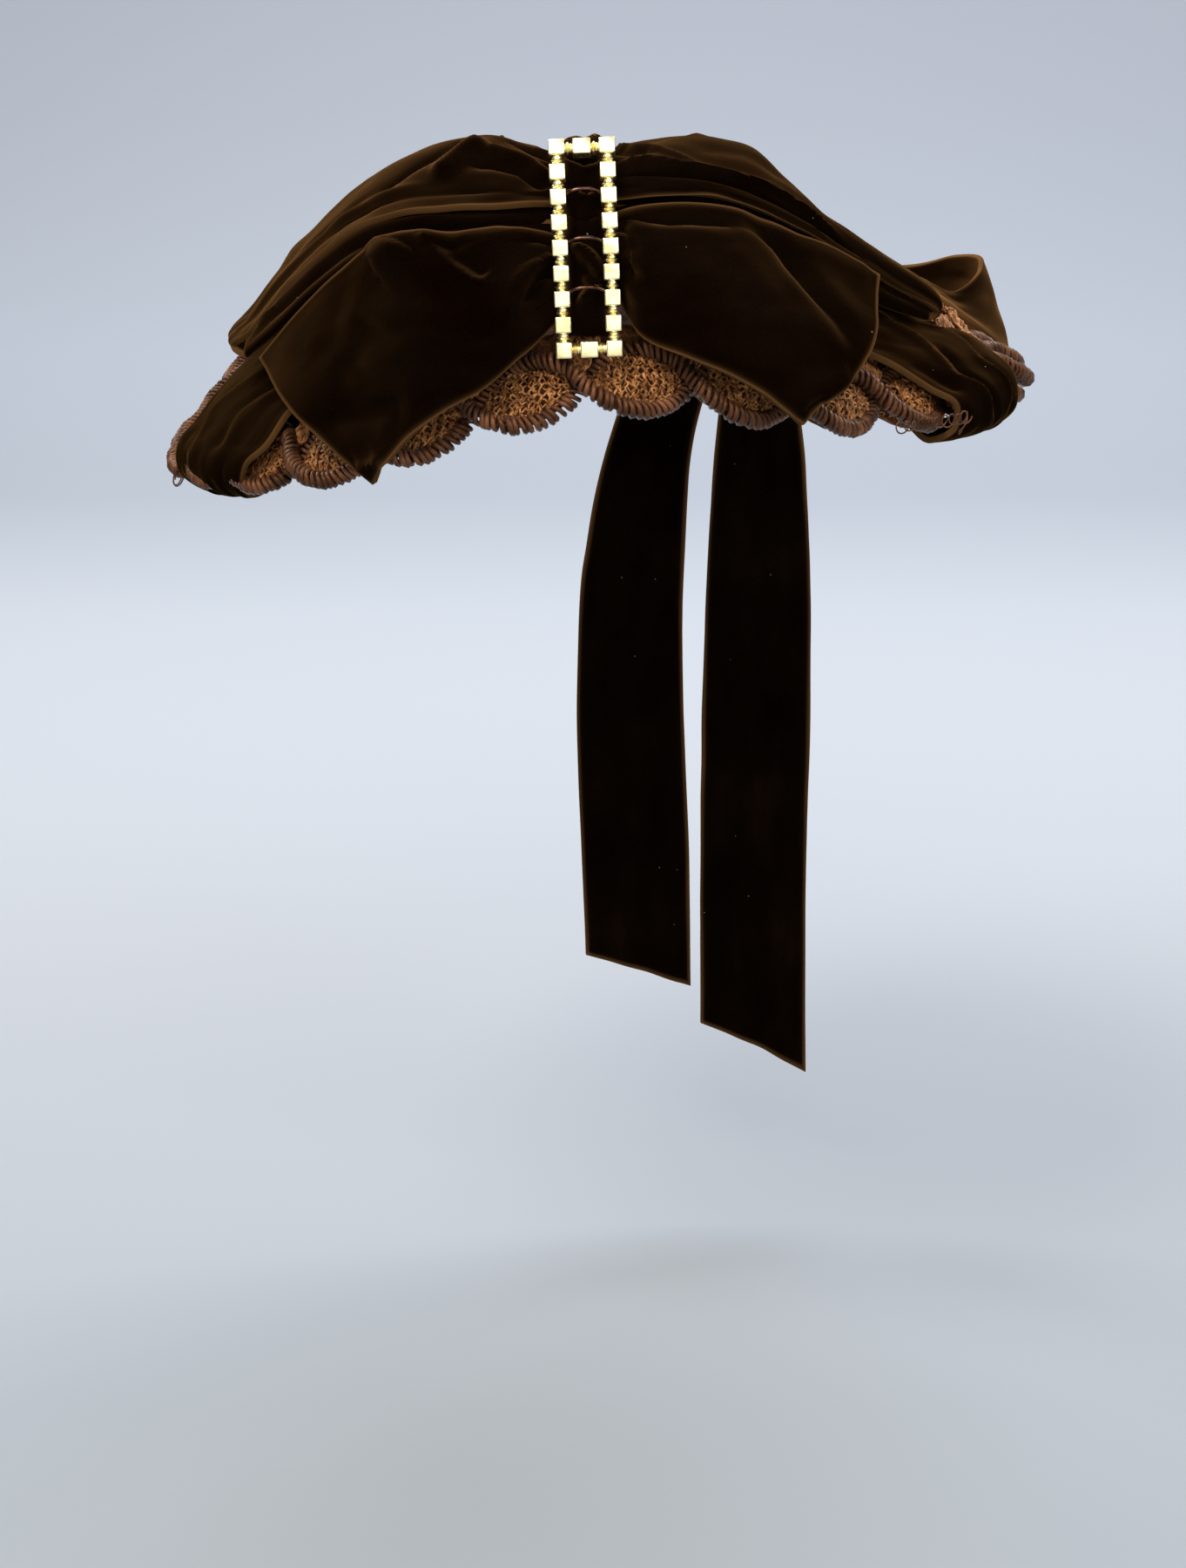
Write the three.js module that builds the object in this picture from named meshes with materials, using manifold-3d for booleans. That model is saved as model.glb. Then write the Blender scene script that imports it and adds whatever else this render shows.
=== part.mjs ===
// Small straw bonnet-hat trimmed with a wide velvet ribbon bow and a beaded buckle.
// Millimetres, +Z up. The bow faces -Y. The origin is the inside top of the crown.
import * as THREE from 'three';
import Module from 'manifold-3d';
import { mergeVertices } from 'three/addons/utils/BufferGeometryUtils.js';

// Hat form: the plan is an oval, and heights are measured from the origin
const PLAN = { centreX: 1, halfWidth: 100.5, halfDepth: 113, meanRadius: 106 };
const CROWN = { top: 2, depth: 30, edgeRadius: 74.2, innerRadius: 72.6, fullness: 2.6, wall: 2 };
const CROWN_MESH = { rows: 8, rowSpacing: 0.75, segments: 40 };
const RIM_HEIGHT = -55.5;
const SIDE_ROLL = 0.095;
const { degToRad } = THREE.MathUtils;
const FRONT_ARCH = { rise: 13.5, at: 0, spread: degToRad(26), fade: 2.5 };
const LEFT_LIFT = { rise: 14, at: degToRad(-122), spread: degToRad(27), fade: 2.5 };

// Edge trimming: two cords twist into a chain of ovals, each filled with a lace pad
const EDGE = {
  height: 16.7,
  ovals: 28,
  firstCrossing: degToRad(-2.1),
  slopeFront: degToRad(73),
  slopeSide: degToRad(30),
  slopeBack: degToRad(53),
};
const COIL = { radius: 1.5, swing: 6.5, twist: 1.85, fullness: 0.75, sides: 6 };
const LACE = {
  top: -7.3,
  pad: 4.2,
  low: 1.6,
  lowOpen: 4.1,
  back: -5.5,
  face: -3.95,
  puff: 4.7,
  backPuff: 3.4,
};
const STEPS_PER_OVAL = 4;

// Brim: how far its shoulder turns out and down from the crown's seam, and where its edge ends
const SEAM = { gap: 0.25, returnDrop: 1.45, innerStep: 1.6 };
const SHOULDER = { out: 4.5, drop: 2.6, innerOut: 3.4, innerDrop: 4.6 };
const BRIM_EDGE = { inset: 0.2, lift: 0.9, sag: 2.2, behind: 3.4, taper: 0.4, steps: 56 };

// Velvet ribbon and buckle
const VELVET_WALL = 1.5;
const KNOT_WALL = 2;
const BUCKLE = {
  columnSpacing: 9.8,
  beads: 9,
  pitch: 4.86,
  bead: 3,
  barBead: 3.5,
  bendRadius: 101,
  ringRadius: 1.05,
  seatDepth: 0.6,
  seat: new THREE.Vector3(-0.7, -114, -28),
  roll: -0.04,
};
const WIRE = { radius: 0.45, rise: 1.5, proud: 0.2, bulge: 0.5, sides: 6, steps: 7 };
const WIRES = [
  { height: 29.2, halfSpan: 2.9 },
  { height: 21.8, halfSpan: 3.45 },
  { height: 12.2, halfSpan: 3.45 },
];

const VELVET = new THREE.MeshStandardMaterial({ color: 0x24120a, roughness: 0.95, metalness: 0 });
const STRAW = new THREE.MeshStandardMaterial({ color: 0x8a6040, roughness: 0.7, metalness: 0 });
const LACE_STRAW = new THREE.MeshStandardMaterial({ color: 0xa67750, roughness: 0.6, metalness: 0 });
const COIL_STRAW = new THREE.MeshStandardMaterial({ color: 0x745237, roughness: 0.45, metalness: 0.1 });
const GILT = new THREE.MeshStandardMaterial({ color: 0xe6d49a, roughness: 0.3, metalness: 1 });
const BRONZE = new THREE.MeshStandardMaterial({ color: 0x6b4a36, roughness: 0.4, metalness: 1 });

const wasm = await Module();
wasm.setup();
const hat = new THREE.Group();

// Adds one named piece, with its seams merged and its normals worked out again
function addPiece(name, geometry, material) {
  const bare = geometry.clone();
  bare.deleteAttribute('normal');
  bare.deleteAttribute('uv');
  const merged = mergeVertices(bare, 1e-4);
  merged.computeVertexNormals();
  const mesh = new THREE.Mesh(merged, material);
  mesh.name = name;
  hat.add(mesh);
  return mesh;
}

// Angles run from the front of the hat (-Y) round towards +X
function waveLift(angle, share) {
  return [FRONT_ARCH, LEFT_LIFT].reduce((sum, wave) => {
    const turn = Math.atan2(Math.sin(angle - wave.at), Math.cos(angle - wave.at));
    return sum + wave.rise * Math.exp(-((turn / wave.spread) ** 2)) * Math.min(share, 1.1) ** wave.fade;
  }, 0);
}

// A point given by its angle, its radius on the mean circle, and its height before roll and arch
function hatPoint(angle, radius, height) {
  const share = radius / PLAN.meanRadius;
  const x = PLAN.centreX + PLAN.halfWidth * share * Math.sin(angle);
  const y = -PLAN.halfDepth * share * Math.cos(angle);
  return new THREE.Vector3(x, y, height + SIDE_ROLL * x + waveLift(angle, share));
}

function edgeSlope(angle) {
  const upright = Math.cos(angle) >= 0 ? EDGE.slopeFront : EDGE.slopeBack;
  return THREE.MathUtils.lerp(upright, EDGE.slopeSide, Math.sin(angle) ** 2);
}

// A point on the edge trimming: along runs down its slope from the middle, out is away from it
function edgePoint(angle, along, out) {
  const slope = edgeSlope(angle);
  const reach = along - EDGE.height / 2;
  const radius = PLAN.meanRadius + reach * Math.cos(slope) + out * Math.sin(slope);
  const height = RIM_HEIGHT - reach * Math.sin(slope) + out * Math.cos(slope);
  return hatPoint(angle, radius, height);
}

// A closed ring whose section at each angle is a list of points
function ringGeometry(steps, sides, sectionAt) {
  const torus = new THREE.TorusGeometry(1, 0.5, sides, steps);
  const position = torus.attributes.position;
  for (let i = 0; i <= steps; i += 1) {
    const section = sectionAt(((i % steps) / steps) * Math.PI * 2);
    for (let j = 0; j <= sides; j += 1) {
      const point = section[j % sides];
      position.setXYZ(j * (steps + 1) + i, point.x, point.y, point.z);
    }
  }
  return torus;
}

function makeCrown() {
  const dome = (radius) => CROWN.top - CROWN.depth * (radius / CROWN.edgeRadius) ** CROWN.fullness;
  const { rows, rowSpacing, segments } = CROWN_MESH;
  const profile = [];
  for (let i = 0; i <= rows; i += 1) {
    const radius = CROWN.innerRadius * (i / rows) ** rowSpacing;
    profile.push(new THREE.Vector2(radius, dome(radius) - CROWN.wall));
  }
  for (let i = rows; i >= 0; i -= 1) {
    const radius = CROWN.edgeRadius * (i / rows) ** rowSpacing;
    profile.push(new THREE.Vector2(radius, dome(radius)));
  }
  const lathe = new THREE.LatheGeometry(profile, segments);
  const position = lathe.attributes.position;
  for (let i = 0; i <= segments; i += 1) {
    const angle = ((i % segments) / segments) * Math.PI * 2;
    profile.forEach((entry, j) => {
      const point = hatPoint(angle, entry.x, entry.y);
      position.setXYZ(i * profile.length + j, point.x, point.y, point.z);
    });
  }
  addPiece('crown', lathe, STRAW);
}

function makeBrim() {
  const inner = CROWN.edgeRadius + SEAM.gap;
  const seam = CROWN.top - CROWN.depth - SEAM.gap;
  const section = (angle) => {
    const slope = edgeSlope(angle);
    const reach = (EDGE.height + BRIM_EDGE.inset) * Math.cos(slope) + BRIM_EDGE.behind * Math.sin(slope);
    const lift = (EDGE.height + BRIM_EDGE.lift) * Math.sin(slope) - BRIM_EDGE.sag * Math.cos(slope);
    const edgeRadius = PLAN.meanRadius - reach;
    const edgeHeight = RIM_HEIGHT + lift;
    return [
      hatPoint(angle, inner, seam),
      hatPoint(angle, inner + SHOULDER.out, seam - SHOULDER.drop),
      hatPoint(angle, edgeRadius, edgeHeight),
      hatPoint(angle, edgeRadius - BRIM_EDGE.taper, edgeHeight - CROWN.wall),
      hatPoint(angle, inner + SHOULDER.innerOut, seam - SHOULDER.innerDrop),
      hatPoint(angle, inner - SEAM.innerStep, seam - SEAM.returnDrop),
    ].reverse();
  };
  addPiece('brim', ringGeometry(BRIM_EDGE.steps, 6, section), STRAW);
}

// How far the twist has turned: a whole turn spans two ovals
function twistAngle(angle) {
  return ((angle - EDGE.firstCrossing) * EDGE.ovals) / 2;
}

function openness(angle) {
  return Math.abs(Math.sin(twistAngle(angle))) ** COIL.fullness;
}

function makeCoil(name, side) {
  const centre = (angle) => {
    const along = side * Math.sign(Math.sin(twistAngle(angle))) * openness(angle) * COIL.swing;
    const out = side * Math.cos(twistAngle(angle)) * COIL.twist;
    return edgePoint(angle, along, out);
  };
  const step = 0.004;
  const section = (turn) => {
    const angle = turn + EDGE.firstCrossing;
    const middle = centre(angle);
    const tangent = centre(angle + step).sub(centre(angle - step)).normalize();
    const outward = edgePoint(angle, 0, 5).sub(edgePoint(angle, 0, 0)).normalize();
    const across = new THREE.Vector3().crossVectors(tangent, outward).normalize();
    const up = new THREE.Vector3().crossVectors(across, tangent);
    return Array.from({ length: COIL.sides }, (_, corner) => {
      const spin = (-corner / COIL.sides) * Math.PI * 2;
      return middle
        .clone()
        .addScaledVector(up, COIL.radius * Math.cos(spin))
        .addScaledVector(across, COIL.radius * Math.sin(spin));
    });
  };
  addPiece(name, ringGeometry(EDGE.ovals * STEPS_PER_OVAL, COIL.sides, section), COIL_STRAW);
}

function makeLace() {
  const section = (turn) => {
    const angle = turn + EDGE.firstCrossing;
    const open = openness(angle);
    const bulge = Math.abs(Math.sin(twistAngle(angle))) ** 3;
    const pad = LACE.pad * (0.35 + 0.65 * open);
    const low = LACE.low + LACE.lowOpen * open;
    const rows = [
      { along: LACE.top, out: LACE.face },
      { along: -pad, out: LACE.face + 0.66 * bulge * LACE.puff },
      { along: 0, out: LACE.face + bulge * LACE.puff },
      { along: 0.8 * low, out: LACE.face + 0.6 * bulge * LACE.puff },
      { along: low, out: LACE.face },
      { along: low, out: LACE.back },
      { along: 0, out: LACE.back + bulge * LACE.backPuff },
      { along: LACE.top, out: LACE.back },
    ];
    return rows.reverse().map((row) => edgePoint(angle, row.along, row.out));
  };
  addPiece('edge_lace', ringGeometry(EDGE.ovals * STEPS_PER_OVAL, 8, section), LACE_STRAW);
}

// A ribbon: rows are sections along its length, and each row lists points from edge to edge
function ribbonGeometry(rows, along, across, wall) {
  const sections = rows.map((row) => {
    const points = row.map((place) => new THREE.Vector3(...place));
    return new THREE.CatmullRomCurve3(points);
  });
  const lanes = Array.from({ length: across + 1 }, (_, j) => {
    const points = sections.map((curve) => curve.getPoint(j / across));
    return new THREE.CatmullRomCurve3(points, false, 'centripetal');
  });
  const grid = lanes.map((lane) => Array.from({ length: along + 1 }, (_, i) => lane.getPoint(i / along)));
  const { clamp } = THREE.MathUtils;
  const at = (i, j) => grid[clamp(j, 0, across)][clamp(i, 0, along)];
  const box = new THREE.BoxGeometry(1, 1, 1, along, across, 1);
  const position = box.attributes.position;
  for (let k = 0; k < position.count; k += 1) {
    const i = Math.round((position.getX(k) + 0.5) * along);
    const j = Math.round((position.getY(k) + 0.5) * across);
    const lengthwise = at(i + 1, j).clone().sub(at(i - 1, j));
    const crosswise = at(i, j + 1).clone().sub(at(i, j - 1));
    const normal = lengthwise.cross(crosswise).normalize();
    const point = at(i, j).clone().addScaledVector(normal, position.getZ(k) * wall);
    position.setXYZ(k, point.x, point.y, point.z);
  }
  return box;
}

// Columns: front edge, crest, back edge. The loop runs out on top, folds and comes back below
const LEFT_TOP_LOOP = [
  [[-6.5, -104.5, -0.8], [-6.5, -95, 7.0], [-6.5, -82, 5.0]],
  [[-20.5, -106.0, -1.5], [-21.3, -86, 10.6], [-20.5, -60, 4.0]],
  [[-34.4, -102.5, -2.4], [-35.5, -80, 7.4], [-34.5, -54, 1.5]],
  [[-45.3, -95.0, -5.5], [-46.0, -73, 1.3], [-45.0, -50, -4.0]],
  [[-55.2, -86.0, -12.3], [-55.2, -65, -6.7], [-54.5, -44, -9.5]],
  [[-64.6, -76.0, -21.0], [-64.6, -57, -16.0], [-64.0, -38, -17.5]],
  [[-72.3, -66.0, -29.8], [-73.0, -50, -26.0], [-73.0, -35, -27.5]],
  [[-76.8, -59.0, -33.3], [-78.6, -46, -32.0], [-78.4, -33, -33.5]],
  [[-73.0, -64.0, -34.4], [-74.0, -49, -33.8], [-73.0, -34, -34.2]],
  [[-63.0, -76.0, -24.9], [-62.5, -57, -24.5], [-62.0, -39, -25.0]],
  [[-53.4, -86.0, -16.4], [-53.4, -66, -17.5], [-52.5, -46, -16.5]],
  [[-42.2, -96.5, -8.6], [-42.5, -75, -10.0], [-42.0, -52, -9.5]],
  [[-26.0, -103.5, -5.2], [-25.5, -82, -5.5], [-25.5, -58, -4.5]],
  [[-6.5, -104.5, -4.6], [-6.5, -94, -4.4], [-6.5, -83, -2.5]],
];

// Columns: lower front edge, front fold, crest, back edge
const RIGHT_TOP_LOOP = [
  [[3.2, -104.4, -0.4], [3.2, -103.2, 5.0], [3.2, -94, 7.4], [3.2, -82, 5.0]],
  [[11.6, -105.4, 0.6], [11.6, -104.5, 6.6], [12.2, -87, 10.2], [12.0, -62, 4.5]],
  [[22.4, -101.6, 0.4], [21.0, -100.0, 5.9], [21.8, -79, 10.4], [21.5, -58, 4.5]],
  [[31.8, -96.0, -2.2], [31.9, -94.0, 2.6], [32.3, -73, 8.4], [32.0, -54, 3.0]],
  [[42.0, -90.2, -7.0], [41.9, -88.5, -2.6], [39.8, -70, 1.5], [41.0, -51, -2.0]],
  [[50.6, -83.4, -12.2], [50.9, -81.5, -8.3], [47.2, -66, -5.9], [49.0, -48, -7.0]],
  [[60.6, -75.6, -18.6], [61.2, -74.0, -15.4], [58.5, -58, -12.9], [60.0, -44, -14.5]],
  [[72.4, -64.8, -25.8], [73.4, -62.5, -24.4], [72.3, -53, -23.0], [72.0, -41, -23.5]],
  [[70.0, -64.6, -27.0], [70.4, -62.0, -26.6], [69.6, -54, -25.8], [69.0, -43, -25.0]],
  [[59.2, -73.2, -20.8], [59.4, -69.0, -20.0], [58.5, -60, -19.2], [59.0, -46, -18.2]],
  [[48.7, -81.6, -14.6], [48.5, -77.0, -13.6], [47.5, -67, -13.4], [48.5, -50, -12.2]],
  [[41.0, -87.4, -9.8], [40.6, -82.0, -9.0], [40.0, -71, -9.2], [40.5, -54, -8.0]],
  [[30.8, -93.0, -4.8], [31.2, -87.0, -4.2], [31.5, -76, -4.4], [31.5, -58, -3.6]],
  [[21.4, -98.2, -2.6], [21.4, -92.0, -1.6], [21.3, -81, -1.2], [21.0, -62, 0.0]],
  [[3.2, -102.2, -1.8], [3.2, -97.0, -1.0], [3.2, -91, -0.6], [3.2, -84, 0.2]],
];

// Columns: upper edge, middle, lower edge. A tail runs from the knot to its cut end
const LEFT_TAIL = [
  [[-6.5, -107.0, -7.0], [-6.2, -109.4, -15.0], [-5.8, -110.6, -23.0]],
  [[-9.8, -107.6, -6.0], [-9.4, -110.6, -15.6], [-8.8, -111.6, -24.8]],
  [[-15.8, -109.4, -5.4], [-15.0, -115.0, -17.5], [-14.0, -115.2, -29.3]],
  [[-26.0, -108.5, -6.3], [-24.2, -116.0, -21.5], [-21.4, -115.0, -35.7]],
  [[-39.0, -104.0, -7.0], [-34.8, -112.8, -23.0], [-29.2, -113.6, -40.3]],
  [[-50.3, -97.0, -14.7], [-44.0, -107.5, -29.5], [-36.1, -112.0, -45.6]],
  [[-59.8, -88.0, -23.5], [-51.2, -101.5, -36.8], [-40.1, -110.6, -50.5]],
  [[-68.7, -78.0, -33.8], [-59.5, -96.5, -43.8], [-43.3, -107.5, -55.3]],
];

const RIGHT_TAIL = [
  [[3.2, -106.6, -3.0], [3.6, -109.2, -10.0], [3.9, -110.4, -17.5]],
  [[6.6, -106.8, -1.6], [6.6, -110.2, -11.0], [6.2, -111.0, -20.6]],
  [[11.8, -107.0, -0.8], [11.2, -113.6, -12.5], [10.2, -115.6, -26.0]],
  [[20.4, -103.6, -0.9], [19.8, -113.2, -14.5], [18.4, -116.2, -29.5]],
  [[30.6, -99.5, -2.7], [29.4, -110.6, -17.0], [27.2, -114.8, -33.3]],
  [[41.4, -93.5, -8.1], [39.2, -107.0, -21.5], [33.5, -114.0, -37.1]],
  [[49.8, -88.0, -11.9], [47.8, -103.5, -26.0], [38.0, -112.4, -40.7]],
  [[57.8, -85.0, -16.5], [55.0, -99.5, -30.5], [41.2, -110.5, -43.3]],
];

// A point beside the edge trimming, for what is folded round it
function beside(degrees, along, out) {
  return edgePoint(degToRad(degrees), along, out).toArray();
}

// Columns: front edge, middle, back edge. A side band crosses the brim and curls under its rim
const LEFT_SIDE_BAND = [
  [[-32, -84, -29.4], [-39, -66, -26.8], [-46, -42, -18.6]],
  [[-45, -80, -35.4], [-54, -58, -32.6], [-64, -32, -29.4]],
  [[-55, -80, -39.4], [-66, -56, -39.0], [-76, -14, -38.4]],
  [beside(-42, -8.5, 4.6), beside(-64, -9, 4.8), beside(-93, -10.5, 4.4)],
  [beside(-43.5, 0, 5.0), beside(-58, 0, 5.2), beside(-79, -4, 5.0)],
  [beside(-44, 6, 4.8), beside(-56, 6, 5.0), beside(-71, 4.5, 5.0)],
  [beside(-44.5, 9.6, 0.6), beside(-55, 9.9, 0.4), beside(-67, 9.6, 0.6)],
  [beside(-44, 7.6, -5.6), beside(-54, 7.8, -5.8), beside(-65, 7.6, -5.6)],
  [beside(-43.5, 1.5, -7.6), beside(-53, 1.5, -8.0), beside(-63, 1.5, -7.6)],
];

const RIGHT_SIDE_BAND = [
  [[32, -85, -23.2], [38, -73, -21.8], [44, -58, -19.0]],
  [[44, -85, -27.2], [51, -72, -25.0], [58, -54, -22.6]],
  [[54.6, -86, -31.6], [62.5, -71, -29.2], [70, -50, -28.2]],
  [beside(38, -6, 4.4), beside(54, -8, 4.4), beside(71, -9.5, 4.4)],
  [beside(43, 1, 4.8), beside(55.5, -1, 5.2), beside(68, -3.5, 5.2)],
  [beside(46, 6, 4.8), beside(56, 5.5, 5.2), beside(65, 4.5, 5.4)],
  [beside(47, 9.6, 0.6), beside(56, 9.9, 0.4), beside(63.5, 9.6, 0.6)],
  [beside(46.5, 7.6, -5.6), beside(55, 7.8, -5.8), beside(62.5, 7.6, -5.6)],
  [beside(46, 1.5, -7.6), beside(54, 1.5, -8.0), beside(61, 1.5, -7.6)],
];

// Columns: viewer's left edge, viewer's right edge. The wrap holds the gathered bow
const CENTRE_KNOT = [
  [[-5.9, -77.0, -19.0], [2.7, -77.0, -19.0]],
  [[-5.9, -77.5, -7.0], [2.6, -77.5, -7.0]],
  [[-6.0, -79.0, 2.0], [2.5, -79.0, 2.0]],
  [[-6.0, -84.0, 7.2], [2.4, -84.0, 7.2]],
  [[-6.0, -92.0, 9.2], [2.4, -92.0, 9.2]],
  [[-6.0, -99.5, 8.8], [2.4, -99.5, 8.8]],
  [[-6.0, -104.4, 5.2], [2.4, -104.4, 5.2]],
  [[-5.9, -104.9, 0.8], [2.5, -104.9, 0.8]],
  [[-5.8, -107.8, -3.2], [2.6, -107.8, -3.2]],
  [[-5.7, -107.3, -7.4], [2.8, -107.3, -7.4]],
  [[-5.6, -109.8, -11.8], [3.0, -109.8, -11.8]],
  [[-5.4, -109.0, -16.4], [3.2, -109.0, -16.4]],
  [[-5.2, -111.0, -20.6], [3.4, -111.0, -20.6]],
  [[-5.0, -109.4, -24.8], [3.5, -109.4, -24.8]],
  [[-5.0, -103.5, -25.0], [3.5, -103.5, -25.0]],
  [[-5.0, -97.0, -24.0], [3.5, -97.0, -24.0]],
];

// The second bow sits at the right of the back, and its ties hang down. Columns: upper, lower edge
const BACK_KNOT = [
  [[32.8, 89.9, -38.3], [47.3, 84.4, -37.1]],
  [[33.3, 94.0, -32.6], [47.8, 89.0, -31.6]],
  [[34.5, 101.5, -29.0], [49.0, 96.5, -28.0]],
  [[35.8, 108.5, -30.4], [50.3, 103.5, -29.4]],
  [[37.0, 114.6, -36.5], [51.5, 109.6, -35.5]],
  [[37.4, 117.4, -45.0], [51.9, 112.4, -44.0]],
  [[37.0, 117.8, -51.5], [51.5, 112.8, -50.5]],
];

const BACK_LOOP_RIGHT = [
  [[50.0, 96.6, -28.6], [51.5, 103.6, -30.2], [52.6, 109.0, -35.6]],
  [[63.0, 90.0, -28.5], [66.5, 94.5, -34.5], [68.0, 97.5, -41.5]],
  [[80.9, 75.0, -27.0], [84.2, 78.0, -33.5], [86.0, 80.0, -40.5]],
  [[91.2, 56.0, -22.8], [94.6, 58.6, -30.5], [97.0, 60.5, -39.5]],
  [[95.6, 43.0, -22.6], [98.8, 44.0, -31.0], [101.4, 44.5, -39.4]],
  [[94.2, 37.0, -25.6], [97.0, 35.5, -32.4], [100.2, 34.0, -39.0]],
  [[87.5, 31.5, -30.0], [89.0, 27.5, -33.0], [91.0, 23.0, -36.0]],
  [[80.0, 38.0, -27.0], [81.0, 33.0, -28.6], [82.0, 27.5, -30.0]],
];

const BACK_LOOP_LEFT = [
  [[33.5, 100.4, -29.2], [34.9, 107.9, -30.6], [36.1, 114.0, -36.4]],
  [[18.0, 99.0, -29.0], [17.0, 108.0, -31.5], [17.0, 117.0, -40.5]],
  [[2.0, 98.0, -28.0], [0.5, 108.5, -32.0], [0.0, 118.5, -43.0]],
  [[-13.0, 96.0, -32.0], [-15.0, 106.5, -36.5], [-15.5, 116.5, -46.5]],
  [[-19.0, 94.5, -38.0], [-21.0, 105.0, -42.5], [-21.5, 114.5, -50.0]],
];

// Columns: viewer's left edge, middle, viewer's right edge of each hanging tie
const LEFT_TIE = [
  [[17.5, 118.5, -47.0], [27.0, 120.8, -47.5], [36.6, 118.0, -47.0]],
  [[4.5, 119.5, -78.0], [16.5, 121.5, -78.0], [28.0, 119.0, -77.0]],
  [[-2.5, 118.0, -112.0], [11.0, 122.5, -112.0], [25.5, 119.0, -111.0]],
  [[-4.5, 119.0, -150.0], [10.5, 117.5, -150.0], [25.5, 121.0, -150.0]],
  [[-3.5, 121.0, -192.0], [12.0, 120.0, -193.0], [27.5, 118.0, -194.0]],
  [[-2.0, 119.5, -228.0], [13.5, 121.5, -233.0], [28.5, 121.0, -238.0]],
];

const RIGHT_TIE = [
  [[37.8, 120.0, -47.0], [45.8, 117.4, -47.5], [52.8, 115.0, -47.0]],
  [[34.0, 119.5, -80.0], [46.0, 121.5, -80.0], [58.0, 115.5, -79.0]],
  [[32.0, 120.5, -118.0], [46.0, 117.5, -118.0], [61.0, 118.5, -118.0]],
  [[31.0, 118.5, -160.0], [46.0, 122.0, -160.0], [61.5, 117.5, -160.0]],
  [[31.0, 119.5, -208.0], [46.5, 118.0, -208.0], [61.5, 120.5, -208.0]],
  [[31.5, 120.0, -249.0], [47.0, 121.5, -256.0], [62.3, 118.0, -263.5]],
];

// Columns: node name, sections, steps along, steps across, wall
const VELVET_PIECES = [
  ['left_top_loop', LEFT_TOP_LOOP, 22, 4, VELVET_WALL],
  ['right_top_loop', RIGHT_TOP_LOOP, 24, 4, VELVET_WALL],
  ['left_tail', LEFT_TAIL, 9, 5, VELVET_WALL],
  ['right_tail', RIGHT_TAIL, 9, 5, VELVET_WALL],
  ['left_side_band', LEFT_SIDE_BAND, 16, 4, VELVET_WALL],
  ['right_side_band', RIGHT_SIDE_BAND, 16, 4, VELVET_WALL],
  ['centre_knot', CENTRE_KNOT, 30, 2, KNOT_WALL],
  ['back_knot', BACK_KNOT, 10, 3, KNOT_WALL],
  ['back_loop_right', BACK_LOOP_RIGHT, 16, 4, VELVET_WALL],
  ['back_loop_left', BACK_LOOP_LEFT, 8, 4, VELVET_WALL],
  ['left_tie', LEFT_TIE, 12, 4, VELVET_WALL],
  ['right_tie', RIGHT_TIE, 12, 4, VELVET_WALL],
];

function makeVelvet() {
  for (const [name, sections, along, across, wall] of VELVET_PIECES) {
    addPiece(name, ribbonGeometry(sections, along, across, wall), VELVET);
  }
}

// A place on the curved buckle: side is across it, height is measured up along its curve
function onBuckle(side, height, out) {
  const lean = height / BUCKLE.bendRadius;
  const turn = new THREE.Matrix4().makeRotationX(-lean);
  const back = BUCKLE.bendRadius * (1 - Math.cos(lean));
  const up = BUCKLE.bendRadius * Math.sin(lean);
  const place = new THREE.Vector3(0, -out, 0).applyMatrix4(turn).add(new THREE.Vector3(side, back, up));
  return turn.setPosition(place);
}

function toManifold(geometry) {
  const bare = geometry.clone();
  bare.deleteAttribute('normal');
  bare.deleteAttribute('uv');
  const merged = mergeVertices(bare, 1e-4);
  const vertProperties = Float32Array.from(merged.attributes.position.array);
  const triVerts = Uint32Array.from(merged.index.array);
  return new wasm.Manifold(new wasm.Mesh({ numProp: 3, vertProperties, triVerts }));
}

function fromManifold(solid) {
  const mesh = solid.getMesh();
  const geometry = new THREE.BufferGeometry();
  geometry.setAttribute('position', new THREE.BufferAttribute(mesh.vertProperties, 3));
  geometry.setIndex(new THREE.BufferAttribute(mesh.triVerts, 1));
  return geometry;
}

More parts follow.
